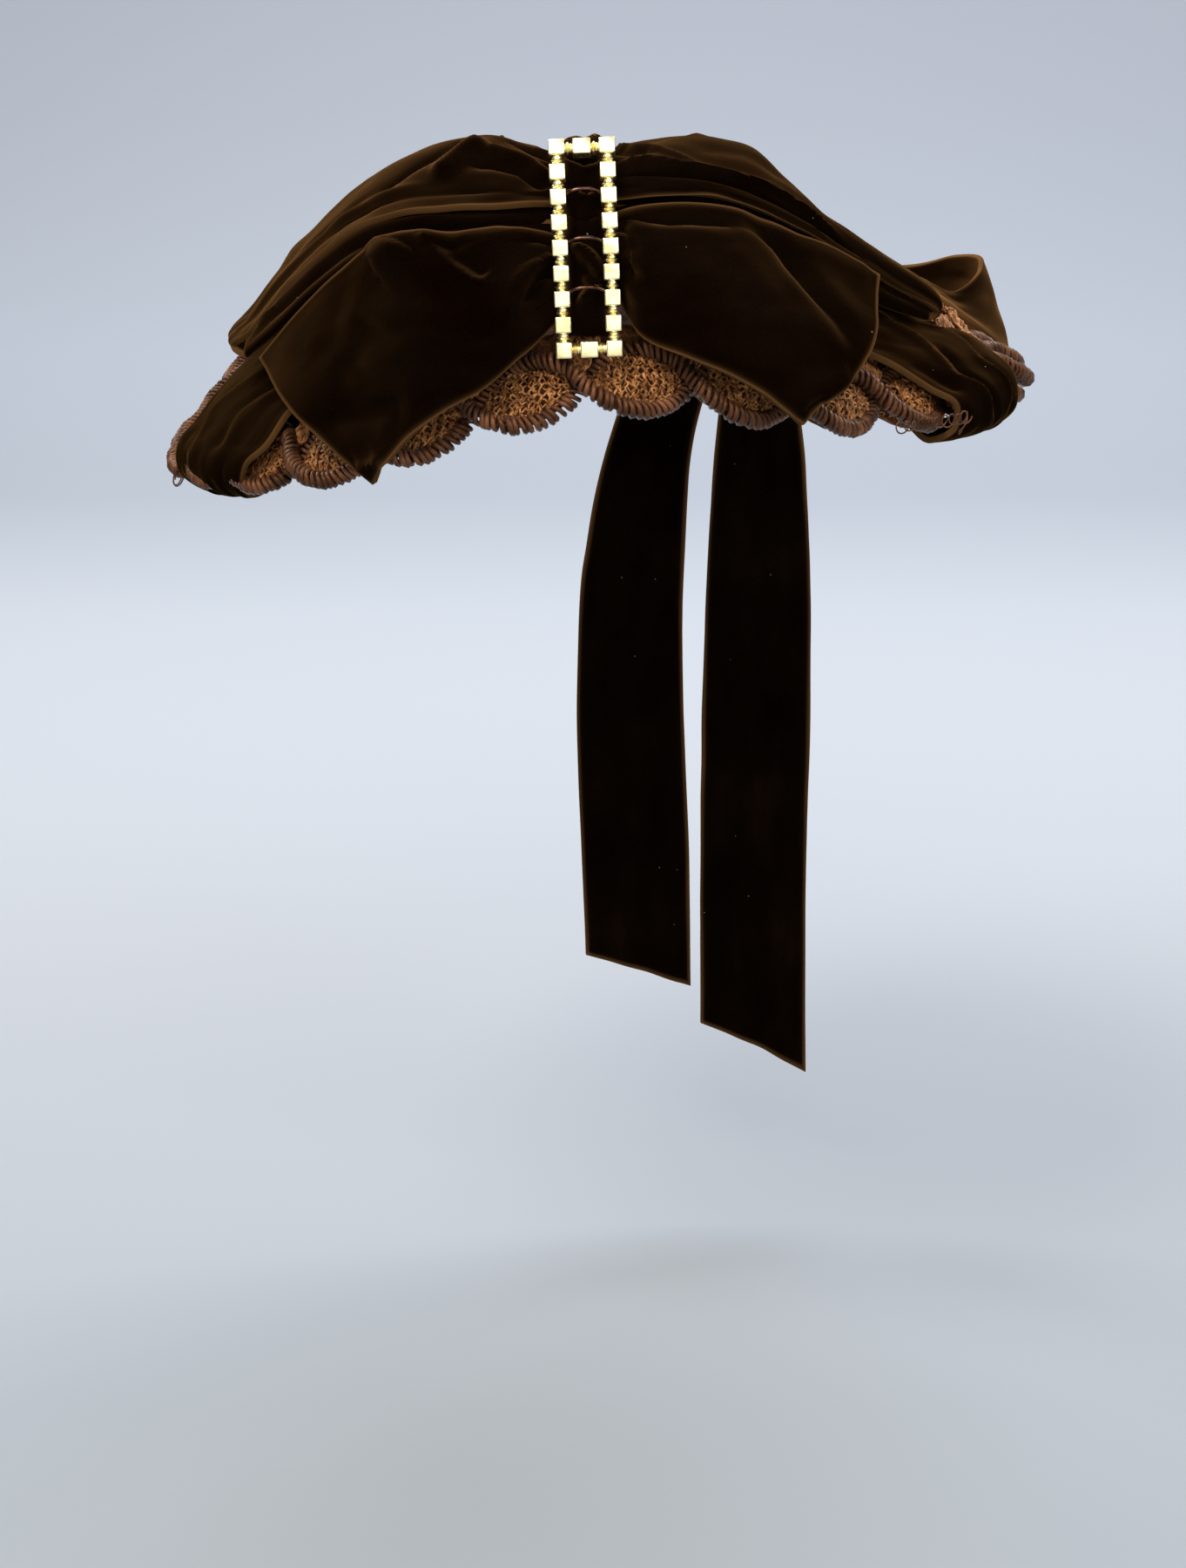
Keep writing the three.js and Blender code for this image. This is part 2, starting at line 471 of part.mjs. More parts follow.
// One soldered frame: square beads up both sides and across both bars, with ring spacers between
function makeBuckle() {
  const pieces = [];
  const addBead = (side, height, width) => {
    const bead = new THREE.BoxGeometry(width, BUCKLE.bead, BUCKLE.bead);
    pieces.push(bead.applyMatrix4(onBuckle(side, height, 0)));
  };
  const addSpacer = (side, height, gap, turn) => {
    const length = gap + BUCKLE.seatDepth;
    const spacer = new THREE.CylinderGeometry(BUCKLE.ringRadius, BUCKLE.ringRadius, length, 6);
    spacer.applyMatrix4(turn);
    pieces.push(spacer.applyMatrix4(onBuckle(side, height, 0)));
  };
  const upright = new THREE.Matrix4().makeRotationX(Math.PI / 2);
  const crosswise = new THREE.Matrix4().makeRotationZ(Math.PI / 2);
  const columns = [-BUCKLE.columnSpacing / 2, BUCKLE.columnSpacing / 2];
  const gap = BUCKLE.pitch - BUCKLE.bead;
  for (const side of columns) {
    for (let i = 0; i < BUCKLE.beads; i += 1) {
      addBead(side, i * BUCKLE.pitch, BUCKLE.bead);
    }
    for (let i = 0; i < BUCKLE.beads - 1; i += 1) {
      addSpacer(side, (i + 0.5) * BUCKLE.pitch, gap, upright);
    }
  }
  const barLink = (BUCKLE.columnSpacing - BUCKLE.bead - BUCKLE.barBead) / 2;
  const linkCentre = (BUCKLE.barBead + barLink) / 2;
  for (const height of [0, (BUCKLE.beads - 1) * BUCKLE.pitch]) {
    addBead(0, height, BUCKLE.barBead);
    addSpacer(-linkCentre, height, barLink, crosswise);
    addSpacer(linkCentre, height, barLink, crosswise);
  }
  const frame = pieces.map(toManifold).reduce((whole, piece) => whole.add(piece));
  const mesh = addPiece('buckle', fromManifold(frame), GILT);
  mesh.position.copy(BUCKLE.seat);
  mesh.rotation.y = BUCKLE.roll;
}

// Three thin wires arch between the sides of the buckle over the gathered velvet
function makeWires() {
  WIRES.forEach(({ height, halfSpan }, index) => {
    const stops = [-1, -0.6, 0, 0.6, 1].map((share) => {
      const arch = 1 - share * share;
      const forward = WIRE.proud + WIRE.bulge * arch;
      const place = new THREE.Vector3(share * halfSpan, -forward, WIRE.rise * arch);
      return place.applyMatrix4(onBuckle(0, height, 0));
    });
    const section = new THREE.Shape(
      Array.from({ length: WIRE.sides }, (_, i) => {
        const turn = (i / WIRE.sides) * Math.PI * 2;
        return new THREE.Vector2(WIRE.radius * Math.cos(turn), WIRE.radius * Math.sin(turn));
      }),
    );
    const path = new THREE.CatmullRomCurve3(stops);
    const wire = new THREE.ExtrudeGeometry(section, { steps: WIRE.steps, extrudePath: path });
    const mesh = addPiece(`buckle_wire_${index + 1}`, wire, BRONZE);
    mesh.position.copy(BUCKLE.seat);
    mesh.rotation.y = BUCKLE.roll;
  });
}

makeCrown();
makeBrim();
makeLace();
makeCoil('edge_coil_a', 1);
makeCoil('edge_coil_b', -1);
makeVelvet();
makeBuckle();
makeWires();

export default hat;
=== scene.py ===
"""Straw hat with a velvet bow: the finished surface of every piece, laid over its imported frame.

Sizes and tables are in millimetres, and every mesh is written in metres.
The bow faces -Y, +Z is up, and the origin is the inside top of the crown.
"""

import logging
import math
from collections.abc import Sequence
from dataclasses import dataclass, field
from enum import Enum

import bpy
import numpy as np
from mathutils import Matrix, Vector


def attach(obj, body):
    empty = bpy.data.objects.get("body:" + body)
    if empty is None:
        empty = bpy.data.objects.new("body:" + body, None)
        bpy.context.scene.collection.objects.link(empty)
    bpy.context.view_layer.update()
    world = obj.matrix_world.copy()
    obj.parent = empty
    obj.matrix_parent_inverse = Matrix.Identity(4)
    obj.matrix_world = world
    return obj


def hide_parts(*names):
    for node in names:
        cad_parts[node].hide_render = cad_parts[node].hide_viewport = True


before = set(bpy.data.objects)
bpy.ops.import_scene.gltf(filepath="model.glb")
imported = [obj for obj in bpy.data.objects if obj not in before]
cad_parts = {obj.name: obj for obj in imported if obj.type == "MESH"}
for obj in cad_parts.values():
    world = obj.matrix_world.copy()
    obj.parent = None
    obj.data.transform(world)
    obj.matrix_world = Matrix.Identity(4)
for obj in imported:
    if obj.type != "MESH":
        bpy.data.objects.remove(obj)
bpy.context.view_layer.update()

MM = 0.001
BODY = "root"
SEED = 1887
NARROWEST_SHEET = 10.1
LOG = logging.getLogger("straw_hat")

Array = np.ndarray
Place = tuple[float, float, float]
Table = tuple[tuple[Place, ...], ...]


def wrapped(angle: Array) -> Array:
    """The same angle, brought between minus and plus half a turn."""
    return np.arctan2(np.sin(angle), np.cos(angle))


@dataclass(frozen=True)
class Wave:
    """One lift of the rim: how high, at which angle, and how far it spreads."""

    rise: float
    at: float
    spread: float
    fade: float = 2.5


@dataclass(frozen=True)
class HatForm:
    """The oval plan of the hat, its crown, and the slope of its edge trimming."""

    centre_x: float = 1.0
    half_width: float = 100.5
    half_depth: float = 113.0
    mean_radius: float = 106.0
    rim_height: float = -55.5
    side_roll: float = 0.095
    waves: tuple[Wave, ...] = (Wave(13.5, 0.0, 26.0), Wave(14.0, -122.0, 27.0))
    trim_height: float = 16.7
    slope_front: float = 73.0
    slope_side: float = 30.0
    slope_back: float = 53.0
    tucked: float = 3.8
    tucked_at: float = -98.0
    tucked_spread: float = 13.0
    crown_top: float = 2.0
    crown_depth: float = 30.0
    crown_radius: float = 74.2
    crown_fullness: float = 2.6

    def lift(self, angle: Array, share: Array) -> Array:
        """Height that the waves add.

        Args:
            angle: angle round the hat from the front, in radians.
            share: distance from the middle, as a share of the mean radius.

        Returns:
            The added height.
        """
        total = np.zeros(np.broadcast(angle, share).shape)
        for wave in self.waves:
            turn = wrapped(angle - math.radians(wave.at))
            reach = np.exp(-((turn / math.radians(wave.spread)) ** 2))
            total = total + wave.rise * reach * np.minimum(share, 1.1) ** wave.fade
        return total

    def point(self, angle: Array, radius: Array, height: Array) -> Array:
        """A point of the hat, from its place on the mean circle.

        Args:
            angle: angle from the front towards +X, in radians.
            radius: radius on the mean circle.
            height: height before the roll and the waves.

        Returns:
            Points with a last axis of x, y and z.
        """
        angle, radius, height = np.broadcast_arrays(angle, radius, height)
        share = radius / self.mean_radius
        x = self.centre_x + self.half_width * share * np.sin(angle)
        y = -self.half_depth * share * np.cos(angle)
        z = height + self.side_roll * x + self.lift(angle, share)
        return np.stack([x, y, z], axis=-1)

    def slope(self, angle: Array) -> Array:
        """Slope of the edge trimming at an angle round the hat, in radians."""
        upright = np.where(np.cos(angle) >= 0, self.slope_front, self.slope_back)
        return np.radians(upright + (self.slope_side - upright) * np.sin(angle) ** 2)

    def tuck(self, angle: Array) -> Array:
        """How far the trimming is drawn in under the band on the left."""
        turn = wrapped(angle - math.radians(self.tucked_at))
        return self.tucked * np.exp(-((turn / math.radians(self.tucked_spread)) ** 2))

    def edge(self, angle: Array, along: Array, out: Array, drawn: float = 1.0) -> Array:
        """A point on the edge trimming.

        Args:
            angle: angle from the front towards +X, in radians.
            along: distance down its slope from its middle.
            out: distance away from it.
            drawn: how much of the tuck on the left it takes.

        Returns:
            Points with a last axis of x, y and z.
        """
        slope = self.slope(angle)
        reach = along - self.trim_height / 2
        radius = self.mean_radius + reach * np.cos(slope) + out * np.sin(slope) - drawn * self.tuck(angle)
        height = self.rim_height - reach * np.sin(slope) + out * np.cos(slope)
        return self.point(angle, radius, height)

    def dome(self, radius: Array) -> Array:
        """Height of the crown's outer face at a radius on the mean circle."""
        share = np.maximum(radius, 0.0) / self.crown_radius
        return self.crown_top - self.crown_depth * share**self.crown_fullness


HAT = HatForm()


def beside(degrees: float, along: float, out: float) -> Place:
    """A point beside the edge trimming, for what is folded round it."""
    return tuple(HAT.edge(np.array(math.radians(degrees)), along, out, 0.0))


def smooth_curve(points: Array, steps: int) -> Array:
    """Points evenly spaced in parameter on a centripetal curve through given points.

    Args:
        points: the given points, first axis along the curve, last axis x, y, z.
        steps: how many steps to make.

    Returns:
        steps + 1 points along the first axis.
    """
    given = np.asarray(points, float)
    count = len(given)
    ends = [2 * given[0] - given[1]], given, [2 * given[-1] - given[-2]]
    padded = np.concatenate(ends)
    place = np.linspace(0.0, count - 1.0, steps + 1)
    start = np.minimum(place.astype(int), count - 2)
    p0, p1, p2, p3 = (padded[start + k] for k in range(4))

    def knot(a: Array, b: Array) -> Array:
        """Square root of the distance between two points."""
        return np.sqrt(np.maximum(np.linalg.norm(b - a, axis=-1, keepdims=True), 1e-6))

    d0, d1, d2 = knot(p0, p1), knot(p1, p2), knot(p2, p3)
    m1 = ((p1 - p0) / d0 - (p2 - p0) / (d0 + d1) + (p2 - p1) / d1) * d1
    m2 = ((p2 - p1) / d1 - (p3 - p1) / (d1 + d2) + (p3 - p2) / d2) * d1
    w = (place - start).reshape((-1,) + (1,) * (given.ndim - 1))
    blend_1 = 2 * w**3 - 3 * w**2 + 1
    return blend_1 * p1 + (w**3 - 2 * w**2 + w) * m1 + (1 - blend_1) * p2 + (w**3 - w**2) * m2


def resampled(values: Array, reach: Array, stops: Array) -> Array:
    """Places or directions along a line, read off at other distances along it."""
    return np.stack([np.interp(stops, reach, values[:, k]) for k in range(3)], axis=1)


def blurred(values: Array, window: int) -> Array:
    """A closed run of values, each averaged with its neighbours over a window."""
    rounds = np.convolve(np.tile(values, 3), np.ones(window) / window, "same")
    return rounds[len(values) : 2 * len(values)]


def unit(vectors: Array) -> Array:
    """The same directions with a length of one."""
    return vectors / np.maximum(np.linalg.norm(vectors, axis=-1, keepdims=True), 1e-9)


def soft_noise(shape: tuple[int, int], cells: tuple[int, int], seed: int) -> Array:
    """Smooth random values from -1 to 1 over a grid.

    Args:
        shape: size of the grid.
        cells: how many random cells lie along each side.
        seed: seed of the random draw.

    Returns:
        An array of the given shape.
    """
    draw = np.random.default_rng(seed).uniform(-1.0, 1.0, (cells[0] + 2, cells[1] + 2))
    weights = []
    for size, count in zip(shape, cells):
        place = np.linspace(0.0, count, size)
        cell = np.minimum(place.astype(int), count)
        share = place - cell
        weights.append((cell, share * share * (3.0 - 2.0 * share)))
    (i, u), (j, v) = weights
    u, v = u[:, None], v[None, :]
    near = draw[i][:, j] * (1 - u) + draw[i + 1][:, j] * u
    far = draw[i][:, j + 1] * (1 - u) + draw[i + 1][:, j + 1] * u
    return near * (1 - v) + far * v


def deselect_all() -> None:
    """Leaves nothing selected."""
    bpy.ops.object.select_all(action="DESELECT")


def make_active(piece: bpy.types.Object) -> None:
    """Selects one piece alone and makes it the active one.

    Args:
        piece: the piece to work on.
    """
    deselect_all()
    piece.select_set(True)
    bpy.context.view_layer.objects.active = piece


def apply_modifier(piece: bpy.types.Object, kind: str, **settings: object) -> None:
    """Adds a modifier with its settings and applies it.

    Args:
        piece: the piece to change.
        kind: the modifier's type.
        settings: values for the modifier's fields.
    """
    make_active(piece)
    modifier = piece.modifiers.new(kind.lower(), kind)
    for key, value in settings.items():
        setattr(modifier, key, value)
    bpy.ops.object.modifier_apply(modifier=modifier.name)


def grid_order(piece: bpy.types.Object, shape: tuple[int, ...]) -> tuple[Array, Array]:
    """Row and column of each corner of a new grid, which Blender numbers along its X first."""
    index = np.arange(len(piece.data.vertices))
    return index % shape[0], index // shape[0]


def grid_piece(name: str, places: Array, uv: Array | None = None) -> bpy.types.Object:
    """Adds a grid and moves each of its corners to its place.

    Args:
        name: name of the new piece.
        places: corners in millimetres, an array of rows, columns and x, y, z.
        uv: texture places of the corners, or None for even ones.

    Returns:
        The new piece.
    """
    rows, columns = places.shape[0] - 1, places.shape[1] - 1
    deselect_all()
    bpy.ops.mesh.primitive_grid_add(x_subdivisions=rows, y_subdivisions=columns, size=2)
    piece = bpy.context.active_object
    piece.name = name
    mesh = piece.data
    mesh.name = name
    corners = np.zeros(len(mesh.vertices) * 3)
    mesh.vertices.foreach_get("co", corners)
    corners = corners.reshape(-1, 3)
    i = np.rint((corners[:, 0] + 1) / 2 * rows).astype(int)
    j = np.rint((corners[:, 1] + 1) / 2 * columns).astype(int)
    mesh.vertices.foreach_set("co", (places[i, j] * MM).ravel())
    if uv is not None:
        loops = np.zeros(len(mesh.loops), int)
        mesh.loops.foreach_get("vertex_index", loops)
        mesh.uv_layers.active.data.foreach_set("uv", uv[i[loops], j[loops]].ravel())
    mesh.update()
    return piece


def close_seams(piece: bpy.types.Object, distance: float = 0.00002) -> None:
    """Merges corners that lie on each other and turns the faces outwards.

    Args:
        piece: the piece to close.
        distance: how close two corners lie when they are one.
    """
    make_active(piece)
    bpy.ops.object.mode_set(mode="EDIT")
    bpy.ops.mesh.select_all(action="SELECT")
    bpy.ops.mesh.remove_doubles(threshold=distance)
    bpy.ops.mesh.normals_make_consistent(inside=False)
    bpy.ops.object.mode_set(mode="OBJECT")


def shade_smooth(piece: bpy.types.Object, angle: float | None = None) -> None:
    """Shades a piece smooth.

    Args:
        piece: the piece to shade.
        angle: edges sharper than this many degrees stay sharp, or None for no sharp edge.
    """
    make_active(piece)
    if angle is None:
        bpy.ops.object.shade_smooth()
    else:
        bpy.ops.object.shade_smooth_by_angle(angle=math.radians(angle))


@dataclass(frozen=True)
class Strand:
    """One line of cord or straw: its points, its thickness, and whether its ends meet."""

    points: Array
    radius: float | Array
    closed: bool = False


def strands_piece(name: str, strands: Sequence[Strand], roundness: int) -> bpy.types.Object:
    """Makes round strands along given lines, as one mesh.

    Args:
        name: name of the new piece.
        strands: the lines.
        roundness: how round a section is, 0 for four sides and 1 for six.

    Returns:
        The new piece.
    """
    curve = bpy.data.curves.new(name, "CURVE")
    curve.dimensions = "3D"
    curve.bevel_depth = MM
    curve.bevel_resolution = roundness
    curve.use_fill_caps = True
    for strand in strands:
        spline = curve.splines.new("POLY")
        spline.points.add(len(strand.points) - 1)
        corners = np.ones((len(strand.points), 4))
        corners[:, :3] = strand.points * MM
        spline.points.foreach_set("co", corners.ravel())
        spline.points.foreach_set("radius", np.full(len(strand.points), strand.radius, float))
        spline.use_cyclic_u = strand.closed
    piece = bpy.data.objects.new(name, curve)
    bpy.context.scene.collection.objects.link(piece)
    make_active(piece)
    bpy.ops.object.convert(target="MESH")
    piece = bpy.context.active_object
    piece.name = name
    shade_smooth(piece)
    return piece


def join_pieces(name: str, parts: Sequence[bpy.types.Object]) -> bpy.types.Object:
    """Joins several pieces into one mesh.

    Args:
        name: name of the joined piece.
        parts: the pieces, which end as one.

    Returns:
        The joined piece.
    """
    make_active(parts[0])
    for part in parts:
        part.select_set(True)
    if len(parts) > 1:
        bpy.ops.object.join()
    piece = bpy.context.active_object
    piece.name = name
    piece.data.name = name
    return piece


def hand_in(piece: bpy.types.Object, finish: bpy.types.Material, slot: str, *nodes: str) -> None:
    """Gives a finished piece its material and its place on the body.

    Args:
        piece: the finished piece.
        finish: its material.
        slot: not used.
        nodes: the CAD nodes that it stands for.
    """
    piece.data.materials.clear()
    piece.data.materials.append(finish)
    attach(piece, BODY)
    if nodes:
        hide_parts(*nodes)
    LOG.info("%s: %d faces", piece.name, len(piece.data.polygons))


def colour(code: str) -> tuple[float, float, float, float]:
    """A colour for a shader.

    Args:
        code: its six-letter screen code.

    Returns:
        Its linear red, green and blue, and full opacity.
    """
    channels = (int(code[k : k + 2], 16) / 255 for k in (0, 2, 4))
    linear = tuple(c / 12.92 if c <= 0.04045 else ((c + 0.055) / 1.055) ** 2.4 for c in channels)
    return (*linear, 1.0)


class Bench:
    """Adds and links the shader nodes of one material."""

    def __init__(self, name: str) -> None:
        """Makes a material with an empty surface shader.

        Args:
            name: name of the material.
        """
        self.material = bpy.data.materials.new(name)
        self.material.use_nodes = True
        self.nodes = self.material.node_tree.nodes
        self.links = self.material.node_tree.links
        self.surface = self.nodes["Principled BSDF"]
        self.places = self.nodes.new("ShaderNodeTexCoord")

    def set(self, **values: object) -> None:
        """Sets the surface shader's own sockets, an underscore standing for a space."""
        for key, value in values.items():
            self.surface.inputs[key.replace("_", " ")].default_value = value

    def stretch(self, source: str, scale: Place) -> bpy.types.NodeSocket:
        """Texture places, stretched.

        Args:
            source: Object or UV.
            scale: factor on each axis.

        Returns:
            The socket of the stretched places.
        """
        mapping = self.nodes.new("ShaderNodeMapping")
        mapping.inputs["Scale"].default_value = scale
        self.links.new(self.places.outputs[source], mapping.inputs["Vector"])
        return mapping.outputs["Vector"]

    def noise(self, places: bpy.types.NodeSocket, scale: float, detail: float = 2.0) -> bpy.types.NodeSocket:
        """A cloudy pattern's value.

        Args:
            places: the texture places.
            scale: how fine it is.
            detail: how many finer layers it has.

        Returns:
            Its value socket.
        """
        node = self.nodes.new("ShaderNodeTexNoise")
        node.inputs["Scale"].default_value = scale
        node.inputs["Detail"].default_value = detail
        self.links.new(places, node.inputs["Vector"])
        return node.outputs["Fac"]

    def ramp(self, value: bpy.types.NodeSocket, *stops: tuple[float, str]) -> bpy.types.NodeSocket:
        """Colours along a value.

        Args:
            value: the value socket.
            stops: each stop's place and colour code.

        Returns:
            The colour socket.
        """
        node = self.nodes.new("ShaderNodeValToRGB")
        elements = node.color_ramp.elements
        while len(elements) < len(stops):
            elements.new(0.5)
        for element, (place, code) in zip(elements, stops):
            element.position = place
            element.color = colour(code)
        self.links.new(value, node.inputs["Fac"])
        return node.outputs["Color"]

    def maths(self, kind: str, a: object, b: object = 0.5) -> bpy.types.NodeSocket:
        """One sum on two values.

        Args:
            kind: Blender's name for the sum.
            a: the first value, a socket or a number.
            b: the second value, a socket or a number.

        Returns:
            The socket of the result.
        """
        node = self.nodes.new("ShaderNodeMath")
        node.operation = kind
        for socket, value in zip(node.inputs, (a, b)):
            if isinstance(value, bpy.types.NodeSocket):
                self.links.new(value, socket)
            else:
                socket.default_value = value
        return node.outputs["Value"]

    def times(self, a: object, b: object) -> bpy.types.NodeSocket:
        """The product of two values, each a socket or a number."""
        return self.maths("MULTIPLY", a, b)

    def plus(self, a: object, b: object) -> bpy.types.NodeSocket:
        """The sum of two values, each a socket or a number."""
        return self.maths("ADD", a, b)

    def stored(self, name: str) -> bpy.types.NodeSocket:
        """A value that the mesh keeps for each of its corners.

        Args:
            name: name of the mesh's attribute.

        Returns:
            Its value socket.
        """
        node = self.nodes.new("ShaderNodeAttribute")
        node.attribute_name = name
        return node.outputs["Fac"]

    def mix(self, share: object, a: object, b: object) -> bpy.types.NodeSocket:
        """Mixes two colours.

        Args:
            share: how much of the second, a socket or a number.
            a: the first colour, a socket or a colour code.
            b: the second colour, a socket or a colour code.

        Returns:
            The colour socket.
        """
        node = self.nodes.new("ShaderNodeMix")
        node.data_type = "RGBA"
        for index, value in ((0, share), (6, a), (7, b)):
            if isinstance(value, bpy.types.NodeSocket):
                self.links.new(value, node.inputs[index])
            else:
                node.inputs[index].default_value = colour(value) if isinstance(value, str) else value
        return node.outputs[2]

    def along(self, way: Place) -> bpy.types.NodeSocket:
        """How far the surface faces a fixed direction.

        Args:
            way: the direction.

        Returns:
            The value socket, from -1 to 1.
        """
        node = self.nodes.new("ShaderNodeVectorMath")
        node.operation = "DOT_PRODUCT"
        self.links.new(self.places.outputs["Normal"], node.inputs[0])
        node.inputs[1].default_value = way
        return node.outputs["Value"]

    def turned_from(self, way: Place) -> bpy.types.NodeSocket:
        """How far the surface turns away from a fixed direction, from 0 to 1."""
        return self.maths("SUBTRACT", 1.0, self.maths("ABSOLUTE", self.along(way)))

    def relief(self, height: bpy.types.NodeSocket, depth: float, strength: float = 1.0) -> None:
        """Raises the surface by a value.

        Args:
            height: the value.
            depth: how deep the relief is, in millimetres.
            strength: how much of it shows.
        """
        node = self.nodes.new("ShaderNodeBump")
        node.inputs["Strength"].default_value = strength
        node.inputs["Distance"].default_value = depth * MM
        self.links.new(height, node.inputs["Height"])
        self.links.new(node.outputs["Normal"], self.surface.inputs["Normal"])

    def paint(self, socket: str, value: bpy.types.NodeSocket) -> None:
        """Feeds a value to one of the surface shader's sockets."""
        self.links.new(value, self.surface.inputs[socket])


@dataclass(frozen=True)
class Velvet:
    """Cut velvet, near black, with a painted golden-brown sheen in its colour where it turns away from the
    camera, more on faces turned up, and a painted highlight along its edges.
    """

    name: str = "brown_velvet"
    deep: str = "040100"
    warm: str = "0a0502"
    brushed_and_sheen: str = "150b06"
    # Colour of the painted sheen, mixed in where the surface turns away.
    nap_tone_and_sheen: str = "69492a"
    facing: Place = (0.0, -0.96, 0.28)
    # Faces turned this way get more of the painted sheen: painted light from above.
    painted_light_way: Place = (-0.3, 0.0, 0.95)
    sheen: str = "ad8245"
    sheen_weight: float = 0.3
    sheen_spread: float = 0.14
    lint: str = "b9a992"
    # How much painted highlight the ribbon's edges get.
    edge_highlight_share: float = 0.5
    most_lit: float = 0.7
    patch_scale: float = 38.0
    stroke_scale: float = 46.0
    fuzz_scale: float = 3400.0
    lint_scale: float = 210.0
    lint_size: float = 0.035
    lint_rarity: float = 0.57

    def build(self) -> bpy.types.Material:
        """Builds the finish.

        Returns:
            The material.
        """
        bench = Bench(self.name)
        bench.set(Roughness=0.9, Specular_IOR_Level=0.0)
        bench.set(Sheen_Weight=self.sheen_weight, Sheen_Roughness=self.sheen_spread)
        bench.set(Sheen_Tint=colour(self.sheen))
        places = bench.stretch("Object", (1.0, 1.0, 1.0))
        along = bench.stretch("UV", (1.0, 3.2, 1.0))
        patches = bench.noise(places, self.patch_scale, 3.0)
        strokes = bench.noise(along, self.stroke_scale, 4.0)
        nap_tone_and_sheen = bench.plus(bench.times(patches, 0.6), bench.times(strokes, 0.4))
        base = bench.ramp(nap_tone_and_sheen, (0.38, self.deep), (0.55, self.warm), (0.74, self.brushed_and_sheen))
        fuzz = bench.noise(places, self.fuzz_scale, 2.0)
        grained = bench.mix(0.22, base, bench.ramp(fuzz, (0.35, self.deep), (0.7, self.brushed_and_sheen)))
        # Painted sheen: golden brown as the surface turns away from the facing direction, more where it
        # faces up.
        turned = bench.turned_from(self.facing)
        lit = bench.times(bench.maths("POWER", turned, 2.5), bench.plus(strokes, 0.3))
        upward = bench.times(bench.along(self.painted_light_way), 0.85)
        lit = bench.times(lit, bench.maths("MAXIMUM", bench.plus(upward, 0.4), 0.1))
        # How strong the painted sheen is, set piece by piece.
        painted_sheen_gain = bench.stored("painted_sheen_gain")
        lit = bench.times(lit, painted_sheen_gain)
        lit = bench.maths("MINIMUM", lit, self.most_lit)
        # Painted highlight along each ribbon's edges and ends.
        edge_highlight = bench.stored("edge_highlight")
        lit = bench.maths("MAXIMUM", lit, bench.times(edge_highlight, self.edge_highlight_share))
        # Mixes the painted sheen colour over the velvet's own tone.
        brushed_and_sheen = bench.mix(lit, grained, self.nap_tone_and_sheen)
        specks = bench.nodes.new("ShaderNodeTexVoronoi")
        specks.inputs["Scale"].default_value = self.lint_scale
        bench.links.new(places, specks.inputs["Vector"])
        near = bench.maths("LESS_THAN", specks.outputs["Distance"], self.lint_size)
        rare = bench.maths("GREATER_THAN", bench.noise(places, 160.0, 0.0), self.lint_rarity)
        speck = bench.times(bench.times(near, rare), 0.3)
        bench.paint("Base Color", bench.mix(speck, brushed_and_sheen, self.lint))
        bench.relief(bench.plus(fuzz, bench.times(strokes, 1.5)), 0.12, 0.6)
        return bench.material


@dataclass(frozen=True)
class Straw:
    """Straw in one of its forms: how dark it is, how it shines, and how fine its fibre is."""

    name: str
    dark: str
    mid: str
    light: str
    roughness: float
    coat: float
    fibre: Place
    depth: float = 0.08
    gloss: str = "ffffff"
    patch: float = 210.0
    row: float = 0.0
    pitch: float = 3.1

    def weave(self, bench: Bench) -> bpy.types.NodeSocket:
        """How light the plait is: chevrons of straw between the dark seams of its rows.

        Args:
            bench: where the material is made.

        Returns:
            The value socket, from 0 in a seam to 1 on a straw.
        """
        split = bench.nodes.new("ShaderNodeSeparateXYZ")
        bench.links.new(bench.places.outputs["UV"], split.inputs["Vector"])
        share = bench.maths("FRACT", bench.maths("DIVIDE", split.outputs["Y"], self.row * MM))
        aside = bench.maths("ABSOLUTE", bench.maths("SUBTRACT", share, 0.5))
        along = bench.maths("DIVIDE", split.outputs["X"], self.pitch * MM)
        slanted = bench.plus(along, bench.times(aside, 2.6))
        straws = bench.maths("ABSOLUTE", bench.maths("SINE", bench.times(slanted, math.pi)))
        seam = bench.times(bench.maths("SUBTRACT", 0.5, aside), 9.0)
        return bench.maths("MINIMUM", bench.maths("POWER", straws, 0.5), seam)

    def build(self) -> bpy.types.Material:
        """Builds the finish.

        Returns:
            The material.
        """
        bench = Bench(self.name)
        bench.set(Specular_IOR_Level=0.45, Specular_Tint=colour(self.gloss))
        bench.set(Coat_Weight=self.coat, Coat_Roughness=0.3)
        places = bench.stretch("Object", (1.0, 1.0, 1.0))
        grain = bench.stretch("UV", self.fibre)
        patch = bench.noise(places, self.patch, 3.0)
        fibre = bench.noise(grain, 1.0, 3.0)
        tone = bench.plus(bench.times(patch, 0.55), bench.times(fibre, 0.45))
        base = bench.ramp(tone, (0.36, self.dark), (0.5, self.mid), (0.66, self.light))
        if self.row:
            woven = self.weave(bench)
            base = bench.mix(woven, self.dark, base)
            fibre = bench.plus(bench.times(fibre, 0.2), woven)
        bench.paint("Base Color", base)
        gloss = bench.times(tone, 0.35)
        bench.paint("Roughness", bench.plus(gloss, self.roughness - 0.17))
        bench.relief(fibre, self.depth, 0.7)
        return bench.material


